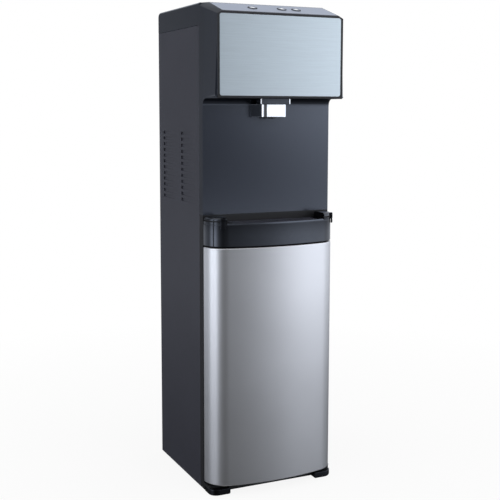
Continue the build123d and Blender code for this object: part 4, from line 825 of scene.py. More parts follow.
class DISPENSER_OT_side_panels(bpy.types.Operator):
    """Model the two side panels with their folds and pressed louvres"""

    bl_idname = "dispenser.side_panels"
    bl_label = "Side panels"

    def execute(self, context):
        for side, name in ((-1, "left_side_panel"), (1, "right_side_panel")):
            self.model(side, name)
        return {"FINISHED"}

    def model(self, side, name):
        sizes = settings("cabinet")
        x = side * sizes.half_width
        inner = x - side * sizes.flange
        low_y, high_y = sizes.seam_y, sizes.panel_back_y
        low_z, high_z = sizes.panel_low_z, sizes.panel_top_z
        piece = add_box(name + "_sheet", (x, low_y, low_z), (inner, high_y, high_z))
        delete_faces(piece, lambda f: face_at(f, "x", inner))
        delete_faces(piece, lambda f: face_at(f, "z", low_z))
        bevel_edges(piece, sizes.fold, 4, lambda e: edge_at(e, "x", x) and not edge_at(e, "z", low_z))
        self.press_louvres(piece, side, x)
        face_outwards(piece)
        turn_shell(piece, lambda f: f.calc_area(), "x", side)
        give_wall(piece, sizes.sheet)
        below = add_box(
            "flange_cut",
            (x - side * (sizes.sheet + sizes.fold), low_y - sizes.flange, low_z - sizes.flange),
            (x - side * 2 * sizes.flange, high_y + sizes.flange, sizes.flange_low_z),
        )
        cut(piece, below)
        smooth(piece, 30.0)
        finish_piece(piece, "cabinet", name, "panel")

    def press_louvres(self, piece, side, x):
        """Two columns of louvres, each pressed in towards its open rear end."""
        sizes = settings("cabinet")
        starts = (sizes.louvre_front_y, sizes.louvre_rear_y)
        columns = [(start, start + sizes.louvre_length) for start in starts]
        rows = [sizes.louvre_low_z + row * sizes.louvre_pitch for row in range(sizes.louvre_rows)]
        for column in columns:
            for y in column:
                self.slice(piece, x, (0, y, 0), (0, 1, 0))
        for z in rows:
            self.slice(piece, x, (0, 0, z), (0, 0, 1))
            self.slice(piece, x, (0, 0, z + sizes.louvre_height), (0, 0, 1))

        def in_louvre(face):
            center = face.calc_center_median()
            in_row = any(z < center.z < z + sizes.louvre_height for z in rows)
            in_column = any(start < center.y < end for start, end in columns)
            return near(center.x, x) and in_row and in_column

        def at_end(y):
            return any(near(y, end, sizes.sheet) for start, end in columns)

        def at_mouth(face):
            center = face.calc_center_median()
            in_rows = rows[0] < center.z < rows[-1] + sizes.louvre_pitch
            pressed = near(center.x, x, sizes.louvre_press)
            return abs(face.normal.y) > FACING and at_end(center.y) and pressed and in_rows

        begin_edit(piece, "FACE", in_louvre)
        bpy.ops.mesh.inset(thickness=sizes.louvre_rim, depth=0.0, use_individual=True)
        bpy.ops.mesh.extrude_faces_move(TRANSFORM_OT_shrink_fatten={"value": -sizes.louvre_lip})
        end_edit()
        lip_x = x - side * sizes.louvre_lip
        press = (-side * sizes.louvre_press, 0, 0)
        move_vertices(piece, lambda v: near(v.co.x, lip_x, 2 * TOUCH) and at_end(v.co.y), press)
        delete_faces(piece, at_mouth)

    def slice(self, piece, x, point, normal):
        begin_edit(piece, "FACE", lambda f: face_at(f, "x", x))
        bpy.ops.mesh.bisect(plane_co=point, plane_no=normal)
        end_edit()


class DISPENSER_OT_top_cover(bpy.types.Operator):
    """Model the top cover behind the head"""

    bl_idname = "dispenser.top_cover"
    bl_label = "Top cover"

    def execute(self, context):
        sizes = settings("cabinet")
        half = sizes.half_width
        top, back = sizes.top_z, sizes.back_y
        piece = add_box("top_cover_shell", (-half, sizes.seam_y, sizes.panel_top_z), (half, back, top))
        bevel_edges(
            piece, sizes.cover_back_radius, 8, lambda e: edge_at(e, "z", top) and edge_at(e, "y", back)
        )
        bevel_edges(piece, sizes.cover_side_radius, 5, lambda e: self.on_side(e, sizes))
        delete_faces(piece, lambda f: face_at(f, "y", sizes.seam_y))
        delete_faces(piece, lambda f: face_at(f, "z", sizes.panel_top_z))
        give_wall(piece, sizes.cover_wall)
        smooth(piece)
        finish_piece(piece, "cabinet", "top_cover", "moulding")
        paint(piece, "matte", lambda f: f.normal.z > LEVEL)
        return {"FINISHED"}

    def on_side(self, edge, sizes):
        """Edges of the side faces along the top and the back, apart from the seams."""
        if not edge.is_manifold or edge_at(edge, "y", sizes.seam_y):
            return False
        first, second = (face.normal for face in edge.link_faces)
        square = abs(first.dot(second)) < 0.1 and {round(abs(first.x)), round(abs(second.x))} == {0, 1}
        low_z = sizes.panel_top_z + MARGIN
        return square and all(v.co.z > low_z or near(v.co.y, sizes.back_y) for v in edge.verts)


class DISPENSER_OT_front_moulding(bpy.types.Operator):
    """Model the head and the niche as one hollow moulding"""

    bl_idname = "dispenser.front_moulding"
    bl_label = "Front moulding"

    def execute(self, context):
        head = settings("head")
        cabinet = settings("cabinet")
        half = cabinet.half_width
        front = head.front_y
        piece = start_line("front_moulding_shell", (-half, cabinet.seam_y, head.niche_floor_z))
        draw_step((0, head.niche_y - cabinet.seam_y, 0))
        draw_step((0, 0, head.low_z - head.fillet - head.niche_floor_z))
        draw_arc((-half, head.niche_y - head.fillet, head.low_z - head.fillet), (1, 0, 0), pi / 2, 8)
        draw_step((0, front - (head.niche_y - head.fillet), 0))
        draw_step((0, 0, head.slope_low_z - head.low_z))
        draw_step((0, head.slope_top_y - front, cabinet.top_z - head.slope_low_z))
        draw_step((0, cabinet.seam_y - head.slope_top_y, 0))
        close_line(piece)
        bpy.ops.mesh.select_all(action="SELECT")
        bpy.ops.mesh.edge_face_add()
        draw_step((2 * half, 0, 0))
        end_edit()
        face_outwards(piece)
        for y in (head.niche_y - head.fillet, head.niche_y - TOUCH):
            begin_whole(piece, "FACE")
            bpy.ops.mesh.bisect(plane_co=(0, y, 0), plane_no=(0, 1, 0))
            end_edit()
        self.taper(piece, head, half)
        bevel_edges(piece, head.side_radius, 5, lambda e: self.on_side(e, cabinet, head))
        bevel_edges(piece, head.front_radius, 3, lambda e: self.across(e, head))
        for side in (-1, 1):
            cut(piece, facet_wedge(side))
        delete_faces(piece, lambda f: face_at(f, "y", cabinet.seam_y) and f.normal.y > FACING)
        give_wall(piece, head.wall)
        face_outwards(piece)
        self.cut_recesses(piece, head)
        smooth(piece, 30.0)
        finish_piece(piece, "cabinet", "front_moulding", "moulding")
        self.darken(piece, head)
        return {"FINISHED"}

    def taper(self, piece, head, half):
        """Narrows the head from the niche plane to its front."""
        # A millionth of a metre tells the rows of vertices apart
        fine = 1e-6
        rows = {round(v.co.y, 6) for v in piece.data.vertices if v.co.y < head.niche_y - fine}
        for y in sorted(rows):
            share = (head.niche_y - y) / (head.niche_y - head.front_y)
            scale = 1 - share * (1 - head.half_width / half)
            begin_edit(piece, "VERT", lambda v: near(v.co.y, y, 2 * fine))
            bpy.ops.transform.resize(value=(scale, 1, 1), center_override=(0, 0, 0))
            end_edit()

    def darken(self, piece, head):
        """Matte black around the fascia and on the level top, matte black under the head as painted shade,
        gloss on the facets.
        """
        paint(piece, "matte", lambda f: f.normal.y < -FACING and f.center.y < head.front_y + MARGIN)
        # Painted shade: the head's underside gets matte black, which stands in for the shade beneath the
        # head
        paint(piece, "matte", lambda f: f.normal.z < -FACING and near(f.center.z, head.low_z, MARGIN))
        paint(piece, "matte", lambda f: f.normal.z > LEVEL and f.center.z > head.slope_low_z)
        paint(piece, "gloss", lambda f: 0.35 < abs(f.normal.x) < 0.60 and f.normal.z > 0.7)

    def on_side(self, edge, cabinet, head):
        """Edges around the side faces, apart from the seam and the lower rim."""
        if len(edge.link_faces) != 2:
            return False
        turned = sorted(abs(f.normal.x) for f in edge.link_faces)
        at_seam = edge_at(edge, "y", cabinet.seam_y)
        at_rim = edge_at(edge, "z", head.niche_floor_z)
        return turned[0] < 0.5 and turned[1] > FACING and not at_seam and not at_rim

    def across(self, edge, head):
        """The two long edges of the head's front."""
        if span(edge, "x") < head.half_width or len(edge.link_faces) != 2:
            return False
        return all(v.co.y < head.front_y + MARGIN for v in edge.verts)

    def cut_recesses(self, piece, head):
        """Recesses for the fascia and the strip, the buttons' holes and the hole for the nozzle's collar."""
        reach = head.cut_reach
        fascia_back = head.front_y + head.fascia_recess
        cut(piece, fascia_plate("fascia_cut", 0.0, head.front_y - reach, fascia_back, 6))
        cut(piece, plate_on_slope("strip_cut", 0.0, head.strip_thickness, reach, head.strip_radius))
        cut_button_holes(piece, 2 * reach)
        middle = (head.nozzle_base_front + head.nozzle_base_back) / 2
        gap = head.fit_gap
        collar = add_box(
            "collar_cut",
            (-head.collar_half - gap, middle - head.collar_depth / 2 - gap, head.low_z - reach),
            (head.collar_half + gap, middle + head.collar_depth / 2 + gap, head.low_z + reach),
        )
        cut(piece, collar)


def slope():
    """Middle of the slope, its angle and its length."""
    head = settings("head")
    top = settings("cabinet").top_z
    run = head.slope_top_y - head.front_y
    rise = top - head.slope_low_z
    middle = Vector((0, (head.front_y + head.slope_top_y) / 2, (top + head.slope_low_z) / 2))
    return middle, atan2(rise, run), sqrt(run**2 + rise**2)


def place_on_slope(piece):
    """Moves a shape that was made about the origin onto the slope."""
    middle, tilt, _ = slope()
    piece.rotation_euler = (tilt, 0, 0)
    piece.location = middle
    apply_place(piece)


def facet_wedge(side):
    """What is cut away above a facet beside the slope."""
    head = settings("head")
    _, _, run = slope()
    reach = 2 * head.facet_width
    inner = side * (head.half_width - head.facet_width)
    outer = inner + side * reach
    wedge = add_box("facet_cut", (inner, -run / 2 - reach, 0), (outer, run / 2 + reach, reach))
    fall = (0, 0, -2 * head.facet_fall)
    move_vertices(wedge, lambda v: near(v.co.x, outer) and v.co.z < TOUCH, fall)
    place_on_slope(wedge)
    return wedge


def fascia_plate(name, gap, front, back, segments):
    """A rounded plate inside the border of the head's front."""
    head = settings("head")
    half = head.half_width - head.border - gap
    low_z = head.low_z + head.border + gap
    high_z = head.slope_low_z - head.border - gap
    plate = add_box(name, (-half, front, low_z), (half, back, high_z))
    bevel_edges(plate, head.fascia_radius - gap, segments, lambda e: span(e, "y") > MARGIN)
    return plate


def plate_on_slope(name, gap, thickness, above, radius):
    """A rounded plate on the slope between the facets, thickness deep and above high."""
    head = settings("head")
    _, _, run = slope()
    half = head.half_width - head.facet_width - head.strip_side_border - gap
    depth = run / 2 - head.strip_border - gap
    plate = add_box(name, (-half, -depth, -thickness), (half, depth, above))
    bevel_edges(plate, radius, 6, lambda e: span(e, "z") > MARGIN)
    place_on_slope(plate)
    return plate


def button_places():
    """X of each push button."""
    head = settings("head")
    first = head.button_left_x
    return {
        "left_button": first,
        "middle_button": first + 2 * head.button_pitch,
        "right_button": first + 3 * head.button_pitch,
    }


def cut_button_holes(piece, depth):
    """Cuts the three buttons' holes into a piece on the slope."""
    head = settings("head")
    for x in button_places().values():
        hole = add_cylinder("button_cut", (x, 0, 0), head.button_radius + head.button_gap, depth)
        place_on_slope(hole)
        cut(piece, hole)


class DISPENSER_OT_fascia(bpy.types.Operator):
    """Model the brushed fascia and the control strip"""

    bl_idname = "dispenser.fascia"
    bl_label = "Fascia and strip"

    def execute(self, context):
        head = settings("head")
        gap = head.fit_gap
        front = head.front_y + head.fascia_sunk
        piece = fascia_plate("steel_fascia_plate", gap, front, head.front_y + head.fascia_recess, 8)
        bevel_edges(piece, head.fascia_edge, 2, lambda e: edge_at(e, "y", front))
        smooth(piece)
        finish_piece(piece, "cabinet", "steel_fascia", "steel")

        strip = plate_on_slope("control_strip_plate", gap, head.strip_thickness, 0, head.strip_radius)
        cut_button_holes(strip, 4 * head.strip_thickness)
        smooth(strip)
        finish_piece(strip, "cabinet", "control_strip", "strip")
        return {"FINISHED"}


class DISPENSER_OT_buttons(bpy.types.Operator):
    """Model the three push buttons with a ring of painted shade and a painted highlight"""

    bl_idname = "dispenser.buttons"
    bl_label = "Buttons"

    def execute(self, context):
        head = settings("head")
        for name, x in button_places().items():
            piece = self.model(name, x, head)
            self.colour_rings(piece, x, head)
            place_on_slope(piece)
            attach(piece, name)
            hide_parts(name)
        return {"FINISHED"}

    def model(self, name, x, head):
        """A cap about the origin, with a hidden flange below and rings inset in its top."""
        top = head.button_proud
        height = top + head.button_depth - head.flange_thickness
        bottom = top - height
        piece = add_cylinder(name + "_cap", (x, 0, top - height / 2), head.button_radius, height)
        begin_edit(piece, "FACE", lambda f: f.normal.z < -FACING)
        lip = head.flange_thickness / 10
        draw_step((0, 0, -lip))
        grow = 1 + head.button_flange / head.button_radius
        bpy.ops.transform.resize(value=(grow, grow, 1), center_override=(x, 0, bottom))
        draw_step((0, 0, lip - head.flange_thickness))
        end_edit()
        bevel_edges(piece, head.edge, 4, lambda e: all(v.co.z > top - TOUCH for v in e.verts))
        begin_edit(piece, "FACE", lambda f: f.normal.z > LEVEL and f.calc_center_median().z > top - TOUCH)
        bpy.ops.mesh.inset(thickness=head.button_shade_ring)
        bpy.ops.mesh.inset(thickness=head.button_radius - head.edge - head.button_shade_ring - head.button_highlight_radius)
        end_edit()
        smooth(piece)
        return piece

    def colour_rings(self, piece, x, head):
        """Silver cap, a dark ring of painted shade near its edge, a pale painted highlight in its middle."""
        ring = head.button_radius - head.edge - MARGIN
        mark = head.button_highlight_radius + MARGIN

        def reach(face):
            corners = [piece.data.vertices[i].co for i in face.vertices]
            return max(sqrt((c.x - x) ** 2 + c.y**2) for c in corners)

        def flat(face):
            return face.normal.z > LEVEL and face.center.z > head.button_proud - TOUCH

        piece.data.materials.append(finishes["strip"])
        # Painted shade: a matte black ring over the cap's rim and sides
        paint(piece, "matte", lambda f: reach(f) > ring and (flat(f) or f.normal.z < LEVEL))
        # Painted highlight: a pale disc in the middle of the cap's top
        paint(piece, "mark", lambda f: flat(f) and reach(f) < mark)


class DISPENSER_OT_nozzle(bpy.types.Operator):
    """Model the gloss nozzle base and the chrome nozzle block"""

    bl_idname = "dispenser.nozzle"
    bl_label = "Nozzle"

    def execute(self, context):
        head = settings("head")
        base = add_box(
            "nozzle_base_block",
            (-head.nozzle_base_half, head.nozzle_base_front, head.nozzle_base_low_z),
            (head.nozzle_base_half, head.nozzle_base_back, head.low_z),
        )
        bevel_edges(base, head.base_radius, 8, lambda e: span(e, "z") > MARGIN)
        bevel_edges(base, head.edge, 3, lambda e: edge_at(e, "z", head.nozzle_base_low_z))
        middle = (head.nozzle_base_front + head.nozzle_base_back) / 2
        collar = add_box(
            "collar",
            (-head.collar_half, middle - head.collar_depth / 2, head.nozzle_base_low_z + head.edge),
            (head.collar_half, middle + head.collar_depth / 2, head.low_z + head.collar_height),
        )
        cut(base, collar, "UNION")
        smooth(base)
        finish_piece(base, "cabinet", "nozzle_base", "gloss")
        # Painted highlight: the base's rounded upright corners and flanks get the chrome finish, which
        # stands in for the light caught on these gloss black corners
        flank_x = head.nozzle_base_half - head.base_radius + TOUCH
        paint(base, "chrome", lambda f: abs(f.normal.z) < 0.1 and f.center.z < head.low_z
              and abs(f.center.x) > flank_x)

        cover = add_box(
            "nozzle_block_cover",
            (-head.nozzle_back_half, head.nozzle_front, head.nozzle_low_z),
            (head.nozzle_back_half, head.nozzle_back, head.nozzle_base_low_z),
        )
        begin_edit(cover, "FACE", lambda f: f.normal.y < -FACING)
        narrow = head.nozzle_front_half / head.nozzle_back_half
        bpy.ops.transform.resize(value=(narrow, 1, 1), center_override=(0, 0, 0))
        end_edit()

        def at_back(edge):
            return all(v.co.y > head.nozzle_back - MARGIN for v in edge.verts)

        bevel_edges(cover, head.nozzle_radius, 8, lambda e: span(e, "z") > MARGIN
                    and e.verts[0].co.y < head.nozzle_front + MARGIN)
        bevel_edges(cover, head.nozzle_back_edge, 4, lambda e: span(e, "z") > MARGIN and at_back(e))
        bevel_edges(cover, head.nozzle_edge, 3, lambda e: span(e, "z") < TOUCH and not at_back(e))
        outlet = (0, head.spout_y, head.nozzle_low_z)
        cut(cover, add_cylinder("spout_cut", outlet, head.spout_radius, 2 * head.spout_depth))
        smooth(cover)
        finish_piece(cover, "cabinet", "nozzle_block", "chrome")
        # Painted reflection: the chrome block's tapered flanks get gloss black, which stands in for the dark
        # surroundings that the chrome flanks reflect
        paint(cover, "gloss", lambda f: abs(f.normal.x) > FACING and -0.40 < f.normal.y < -0.30)
        return {"FINISHED"}


class DISPENSER_OT_door(bpy.types.Operator):
    """Model the bowed skin of the door"""

    bl_idname = "dispenser.door"
    bl_label = "Door"

    def execute(self, context):
        front = settings("front")
        half = settings("cabinet").half_width
        piece = draw_front(
            "door_skin_shell", front.door_low_z, 0.0, half, front.door_back, corner_steps=28, bow_steps=56
        )
        bpy.ops.mesh.select_all(action="SELECT")
        draw_step((0, 0, front.door_top_z - front.door_low_z))
        end_edit()
        for z in (front.door_low_z, front.door_top_z):
            begin_edit(piece, "EDGE", lambda e: edge_at(e, "z", z))
            bpy.ops.mesh.edge_face_add()
            end_edit()
        face_outwards(piece)
        bevel_edges(piece, front.door_edge, 4, lambda e: len(e.link_faces) == 2
                    and abs(e.link_faces[0].normal.z - e.link_faces[1].normal.z) > 0.5)
        turn_shell(piece, lambda f: -f.calc_center_median().y, "y", -1)
        give_wall(piece, front.door_skin)
        for z in (front.door_low_z, front.door_top_z):
            cut(piece, hinge_hole(z, 2 * front.door_skin))
        smooth(piece, 40.0)
        finish_piece(piece, "door", "door_skin", "door")
        return {"FINISHED"}


def hinge_hole(z, depth):
    """A hole for a hinge pin that reaches as deep above a height as below it."""
    front = settings("front")
    place = (front.hinge_x, ahead(front.hinge_reach), z)
    return add_cylinder("pin_cut", place, front.pin_hole, 2 * depth)


class DISPENSER_OT_tray(bpy.types.Operator):
    """Model the gloss tray band and the drip tray with its end caps and clips"""

    bl_idname = "dispenser.tray"
    bl_label = "Tray band and drip tray"

    def execute(self, context):
        front = settings("front")
        half = settings("cabinet").half_width
        over = 2 * front.cap_top_z - front.tray_top_z
        self.band(front, half, over)
        self.tray(front, half, over)
        return {"FINISHED"}

    def band(self, front, half, over):
        """The band around the drip tray's well."""
        ends = (front.band_low_z, front.band_top_z)
        band = block("tray_housing_band", *ends, front.band_inset, half, 0.0)
        bevel_edges(band, front.band_edge, 3, lambda e: len(e.link_faces) == 2
                    and any(edge_at(e, "z", z) for z in ends)
                    and sorted(round(abs(f.normal.z)) for f in e.link_faces) == [0, 1])
        inset = front.well_inset
        cut(band, block("well", front.well_floor_z, over, inset, front.well_half, inset))
        cut(band, hinge_hole(front.band_low_z, front.pin_depth))
        smooth(band)
        finish_piece(band, "cabinet", "tray_housing", "gloss")

    def tray(self, front, half, over):
        """The tub and its rim, the grille's recess, the opening, the end caps and the clips."""
        top, inset, back = front.tray_top_z, front.tray_inset, front.tray_back
        rim_loops = [
            (front.band_top_z, inset, half, back),
            (top - front.rim_bevel, inset, half, back),
            (top, inset + front.rim_bevel_depth, half, back),
        ]
        rim = loft("rim", rim_loops)
        tub_top = (front.band_top_z + top) / 2
        inset = front.tub_inset
        tray = block("drip_tray_tub", front.tub_low_z, tub_top, inset, front.tub_half, inset)
        cut(tray, rim, "UNION")
        inset = front.recess_inset
        cut(tray, block("recess", front.recess_z, over, inset, front.recess_half, inset))
        inset = front.opening_inset
        cut(tray, block("opening", front.tub_floor_z, over, inset, front.opening_half, inset))
        for fitting in (self.caps(front, half), self.clip(-1, front), self.clip(1, front)):
            cut(tray, fitting, "UNION")
        drop_slivers(tray)
        smooth(tray, 25.0)
        finish_piece(tray, "drip_tray", "drip_tray", "gloss")

        def heights(face):
            return [tray.data.vertices[i].co.z for i in face.vertices]

        groove = front.groove_half + TOUCH
        paint(tray, "matte", lambda f: all(near(z, front.groove_z, groove) for z in heights(f)))
        # Painted highlight: the bevel along the rim gets the paler, more reflective satin finish, so that it
        # shows as a light line along the tray's front edge
        paint(tray, "moulding", lambda f: 0.4 < f.normal.z < 0.7 and max(heights(f)) < top + TOUCH)

    def clip(self, side, front):
        """A hook over the rim's corner and down the outside of the band."""
        corner_x, _, _ = bow()
        inner = front.corner - front.band_inset + front.clip_gap
        low = front.clip_low_z
        width = front.clip_width / 2
        outer = inner + front.clip_thickness
        hook = add_box("clip", (inner, -width, low), (outer, width, front.clip_top_z))
        rim_z = front.band_top_z
        self.split(hook, -1, rim_z + front.clip_gap)
        begin_edit(hook, "FACE", lambda f: f.normal.x < -FACING and f.calc_center_median().z > rim_z)
        draw_step((-front.clip_thickness, 0, 0))
        end_edit()
        self.split(hook, 1, low + front.clip_foot)
        begin_edit(hook, "FACE", lambda f: f.normal.x > FACING)
        bpy.ops.mesh.inset(thickness=front.clip_rim, depth=0.0, use_individual=True)
        bpy.ops.mesh.extrude_faces_move(TRANSFORM_OT_shrink_fatten={"value": front.clip_proud})
        end_edit()
        bevel_edges(hook, front.clip_edge, 2, lambda e: len(e.link_faces) == 2
                    and all(v.co.x > inner + MARGIN for v in e.verts)
                    and e.link_faces[0].normal.dot(e.link_faces[1].normal) < 0.3)
        turn = -front.right_clip_turn if side > 0 else front.left_clip_turn - pi
        hook.rotation_euler = (0, 0, turn)
        hook.location = (side * corner_x, ahead(front.straight), 0)
        apply_place(hook)
        return hook

    def split(self, hook, sign, z):
        """Divides a clip's inner or outer face at a height."""
        begin_edit(hook, "FACE", lambda f: f.normal.x * sign > FACING)
        bpy.ops.mesh.bisect(plane_co=(0, 0, z), plane_no=(0, 0, 1))
        end_edit()

    def caps(self, front, half):
        """The raised ends of the rim, with a groove around them and a rounded top."""
        inset = front.tray_inset
        back = front.tray_back
        deep = inset + front.groove
        open_half = front.groove_half
        loops = [
            (front.band_top_z + front.band_edge, inset, half, back),
            (front.groove_z - open_half, inset, half, back),
            (front.groove_z - open_half / 2, deep, half, back),
            (front.groove_z + open_half / 2, deep, half, back),
            (front.groove_z + open_half, inset, half, back),
        ]
        steps = 5
        for step in range(steps + 1):
            turn = step / steps * pi / 2
            drop = front.cap_rounding * (1 - sin(turn))
            move = front.cap_rounding * (1 - cos(turn))
            loops.append((front.cap_top_z - drop, inset + move, half, back + move))
        caps = loft("caps", loops)
        middle = add_box(
            "caps_middle",
            (-front.cap_x, ahead(2 * front.reach), front.tray_top_z - 2 * front.cap_rounding),
            (front.cap_x, ahead(-front.reach), front.cap_top_z + front.cap_rounding),
        )
        cut(caps, middle)
        bevel_edges(caps, front.cap_end, 4, lambda e: span(e, "z") < 10 * MARGIN and all(
            near(abs(v.co.x), front.cap_x) and v.co.z > front.groove_z for v in e.verts))
        return caps


class DISPENSER_OT_feet(bpy.types.Operator):
    """Model the two front feet"""

    bl_idname = "dispenser.feet"
    bl_label = "Front feet"

    def execute(self, context):
        front = settings("front")
        pieces = []
        for side in (-1, 1):
            x = side * front.foot_x
            outer = x + side * front.foot_half
            fore = ahead(front.foot_depth)
            corner = (x - front.foot_half, fore, 0.0)
            foot = add_box("foot", corner, (x + front.foot_half, ahead(0.0), front.foot_height))
            bevel_edges(
                foot, front.foot_corner, 10, lambda e: edge_at(e, "x", outer) and edge_at(e, "y", fore)
            )
            bevel_edges(foot, front.foot_chamfer, 3, lambda e: edge_at(e, "z", 0.0))
            bevel_edges(foot, front.band_edge, 2, lambda e: edge_at(e, "z", front.foot_height))
            middle = (x, ahead(front.foot_stem_reach), (front.foot_height + front.foot_stem_top) / 2)
            stem = add_cylinder("stem", middle, front.foot_stem, front.foot_stem_top - front.foot_height, 24)
            cut(foot, stem, "UNION")
            pieces.append(foot)
        feet = join("front_feet_blocks", pieces)
        smooth(feet)
        finish_piece(feet, "cabinet", "front_feet", "gloss")
        return {"FINISHED"}


class DISPENSER_OT_condenser(bpy.types.Operator):
    """Model the folded condenser tube on the back"""

    bl_idname = "dispenser.condenser"
    bl_label = "Condenser"

    def execute(self, context):
        back = settings("back")
        clear_selection()
        bpy.ops.mesh.primitive_circle_add(
            vertices=12,
            radius=back.tube_radius,
            location=(back.inlet_x, back.web_y, back.top_z),
            rotation=(pi / 2, 0, 0),
        )
        piece = name_new("condenser_tube")
        begin_whole(piece, "VERT")
        bend = back.inlet_bend
        draw_step((0, back.tube_y - bend - back.web_y, 0))
        draw_arc((back.inlet_x - bend, back.tube_y - bend, back.top_z), (0, 0, 1), pi / 2, 6)
        end = back.inlet_x - bend
        side = -1
        for turn in range(back.passes):
            z = back.top_z - turn * back.pitch
            last = turn == back.passes - 1
            stop = side * (back.half_width - (0.0 if last else back.bend))
            draw_step((stop - end, 0, 0))
            end = stop
            if not last:
                draw_arc((end, back.tube_y, z - back.bend), (0, 1, 0), side * pi / 2, 7)
                draw_step((0, 0, 2 * back.bend - back.pitch))
                draw_arc((end, back.tube_y, z - back.pitch + back.bend), (0, 1, 0), side * pi / 2, 7)
            side = -side
        end_edit()
        begin_edit(piece, "EDGE")
        bpy.ops.mesh.select_non_manifold()
        bpy.ops.mesh.edge_face_add()
        end_edit()
        face_outwards(piece)
        smooth(piece, 50.0)
        finish_piece(piece, "cabinet", "condenser", "enamel")
        return {"FINISHED"}


# Fields of the reflection screen: levels by azimuth in degrees, right positive, and by height in metres
SCREEN = (
    # Bright and dark fields all round before the door and the band, which fade towards the floor
    (
        (
            (-180, 0.34), (-158, 0.12), (-142, 0.78), (-112, 0.58), (-106, 0.60), (-101, 0.84),
            (-95, 1.75), (-90, 2.30), (-84.5, 3.05), (-82.5, 0.04), (-78.5, 0.04), (-76.5, 2.55),
            (-70, 2.65), (-60, 1.10), (-55, 0.62), (-50, 0.38), (-39, 0.16), (-33, 0.12), (-15, 0.19),
            (0, 0.37), (12, 0.60), (20, 0.84), (26, 1.10), (32, 1.36), (42, 1.55), (58, 1.42), (75, 0.92),
            (120, 0.55), (180, 0.34),
        ),
        (
            (-12.0, 0.02), (-4.0, 0.04), (-1.2, 0.10), (-0.75, 0.175), (-0.35, 0.37), (-0.05, 0.73),
            (0.2, 1.0), (0.25, 1.0), (0.31, 0.0),
        ),
    ),
    # Darker ones above them, before the niche and the head
    (
        (
            (-180, 0.30), (-154, 0.12), (-130, 0.30), (-106, 0.24), (-95, 1.20), (-84.5, 2.00),
            (-82.5, 0.12), (-78.5, 0.12), (-76.5, 1.70), (-70, 1.70), (-60, 0.60), (-48, 0.20),
            (-35, 0.06), (0, 0.06), (12, 0.07), (20, 0.08), (26, 0.20), (32, 0.66), (42, 1.30), (60, 1.30),
            (90, 0.95), (120, 0.62), (150, 0.48), (180, 0.30),
        ),
        ((0.30, 0.0), (0.40, 1.0), (0.9, 1.0), (1.4, 0.85)),
    ),
    # A bright window at the right
    (
        ((23.5, 0.0), (26.5, 0.82), (32, 1.48), (60, 1.48), (75, 0.0)),
        ((0.40, 0.0), (0.85, 1.0), (1.5, 1.0), (1.8, 0.0)),
    ),
    # A softer one above it, further to the left
    (
        ((-10, 0.0), (14, 0.34), (60, 0.54), (75, 0.0)),
        ((0.86, 0.0), (1.05, 1.0), (1.40, 1.0), (1.7, 0.0)),
    ),
    # A small card that the nozzle's front shows
    (
        ((22.8, 0.0), (23.6, 1.40), (26.8, 1.40), (27.6, 0.0)),
        ((0.78, 0.0), (0.805, 1.0), (0.895, 1.0), (0.92, 0.0)),
    ),
    # An even ring above all, dark again overhead
    (((-180, 1.0), (180, 1.0)), ((1.7, 0.0), (2.1, 0.58), (3.0, 0.62), (3.5, 0.03))),
)

# Soft lamps: name, azimuth from the front (right positive), distance, middle height, width, height, power
SOFTBOXES = (
    ("front_softbox", 12.0, 1.1, 1.25, 0.6, 0.4, 6.0),
    ("right_softbox", 60.0, 2.1, 1.70, 1.7, 2.0, 6.0),
    ("left_softbox", -100.0, 2.1, 1.50, 1.7, 2.0, 12.0),
)
# The lamp overhead: place, side, power
TOP_PLACE = (0.2, -0.4, 2.6)
TOP_SIDE = 1.6
TOP_POWER = 6.0
# The floor's faint clouds: size in millimetres, spread of colour
FLOOR_MM = 300.0
FLOOR_SPREAD = 0.01


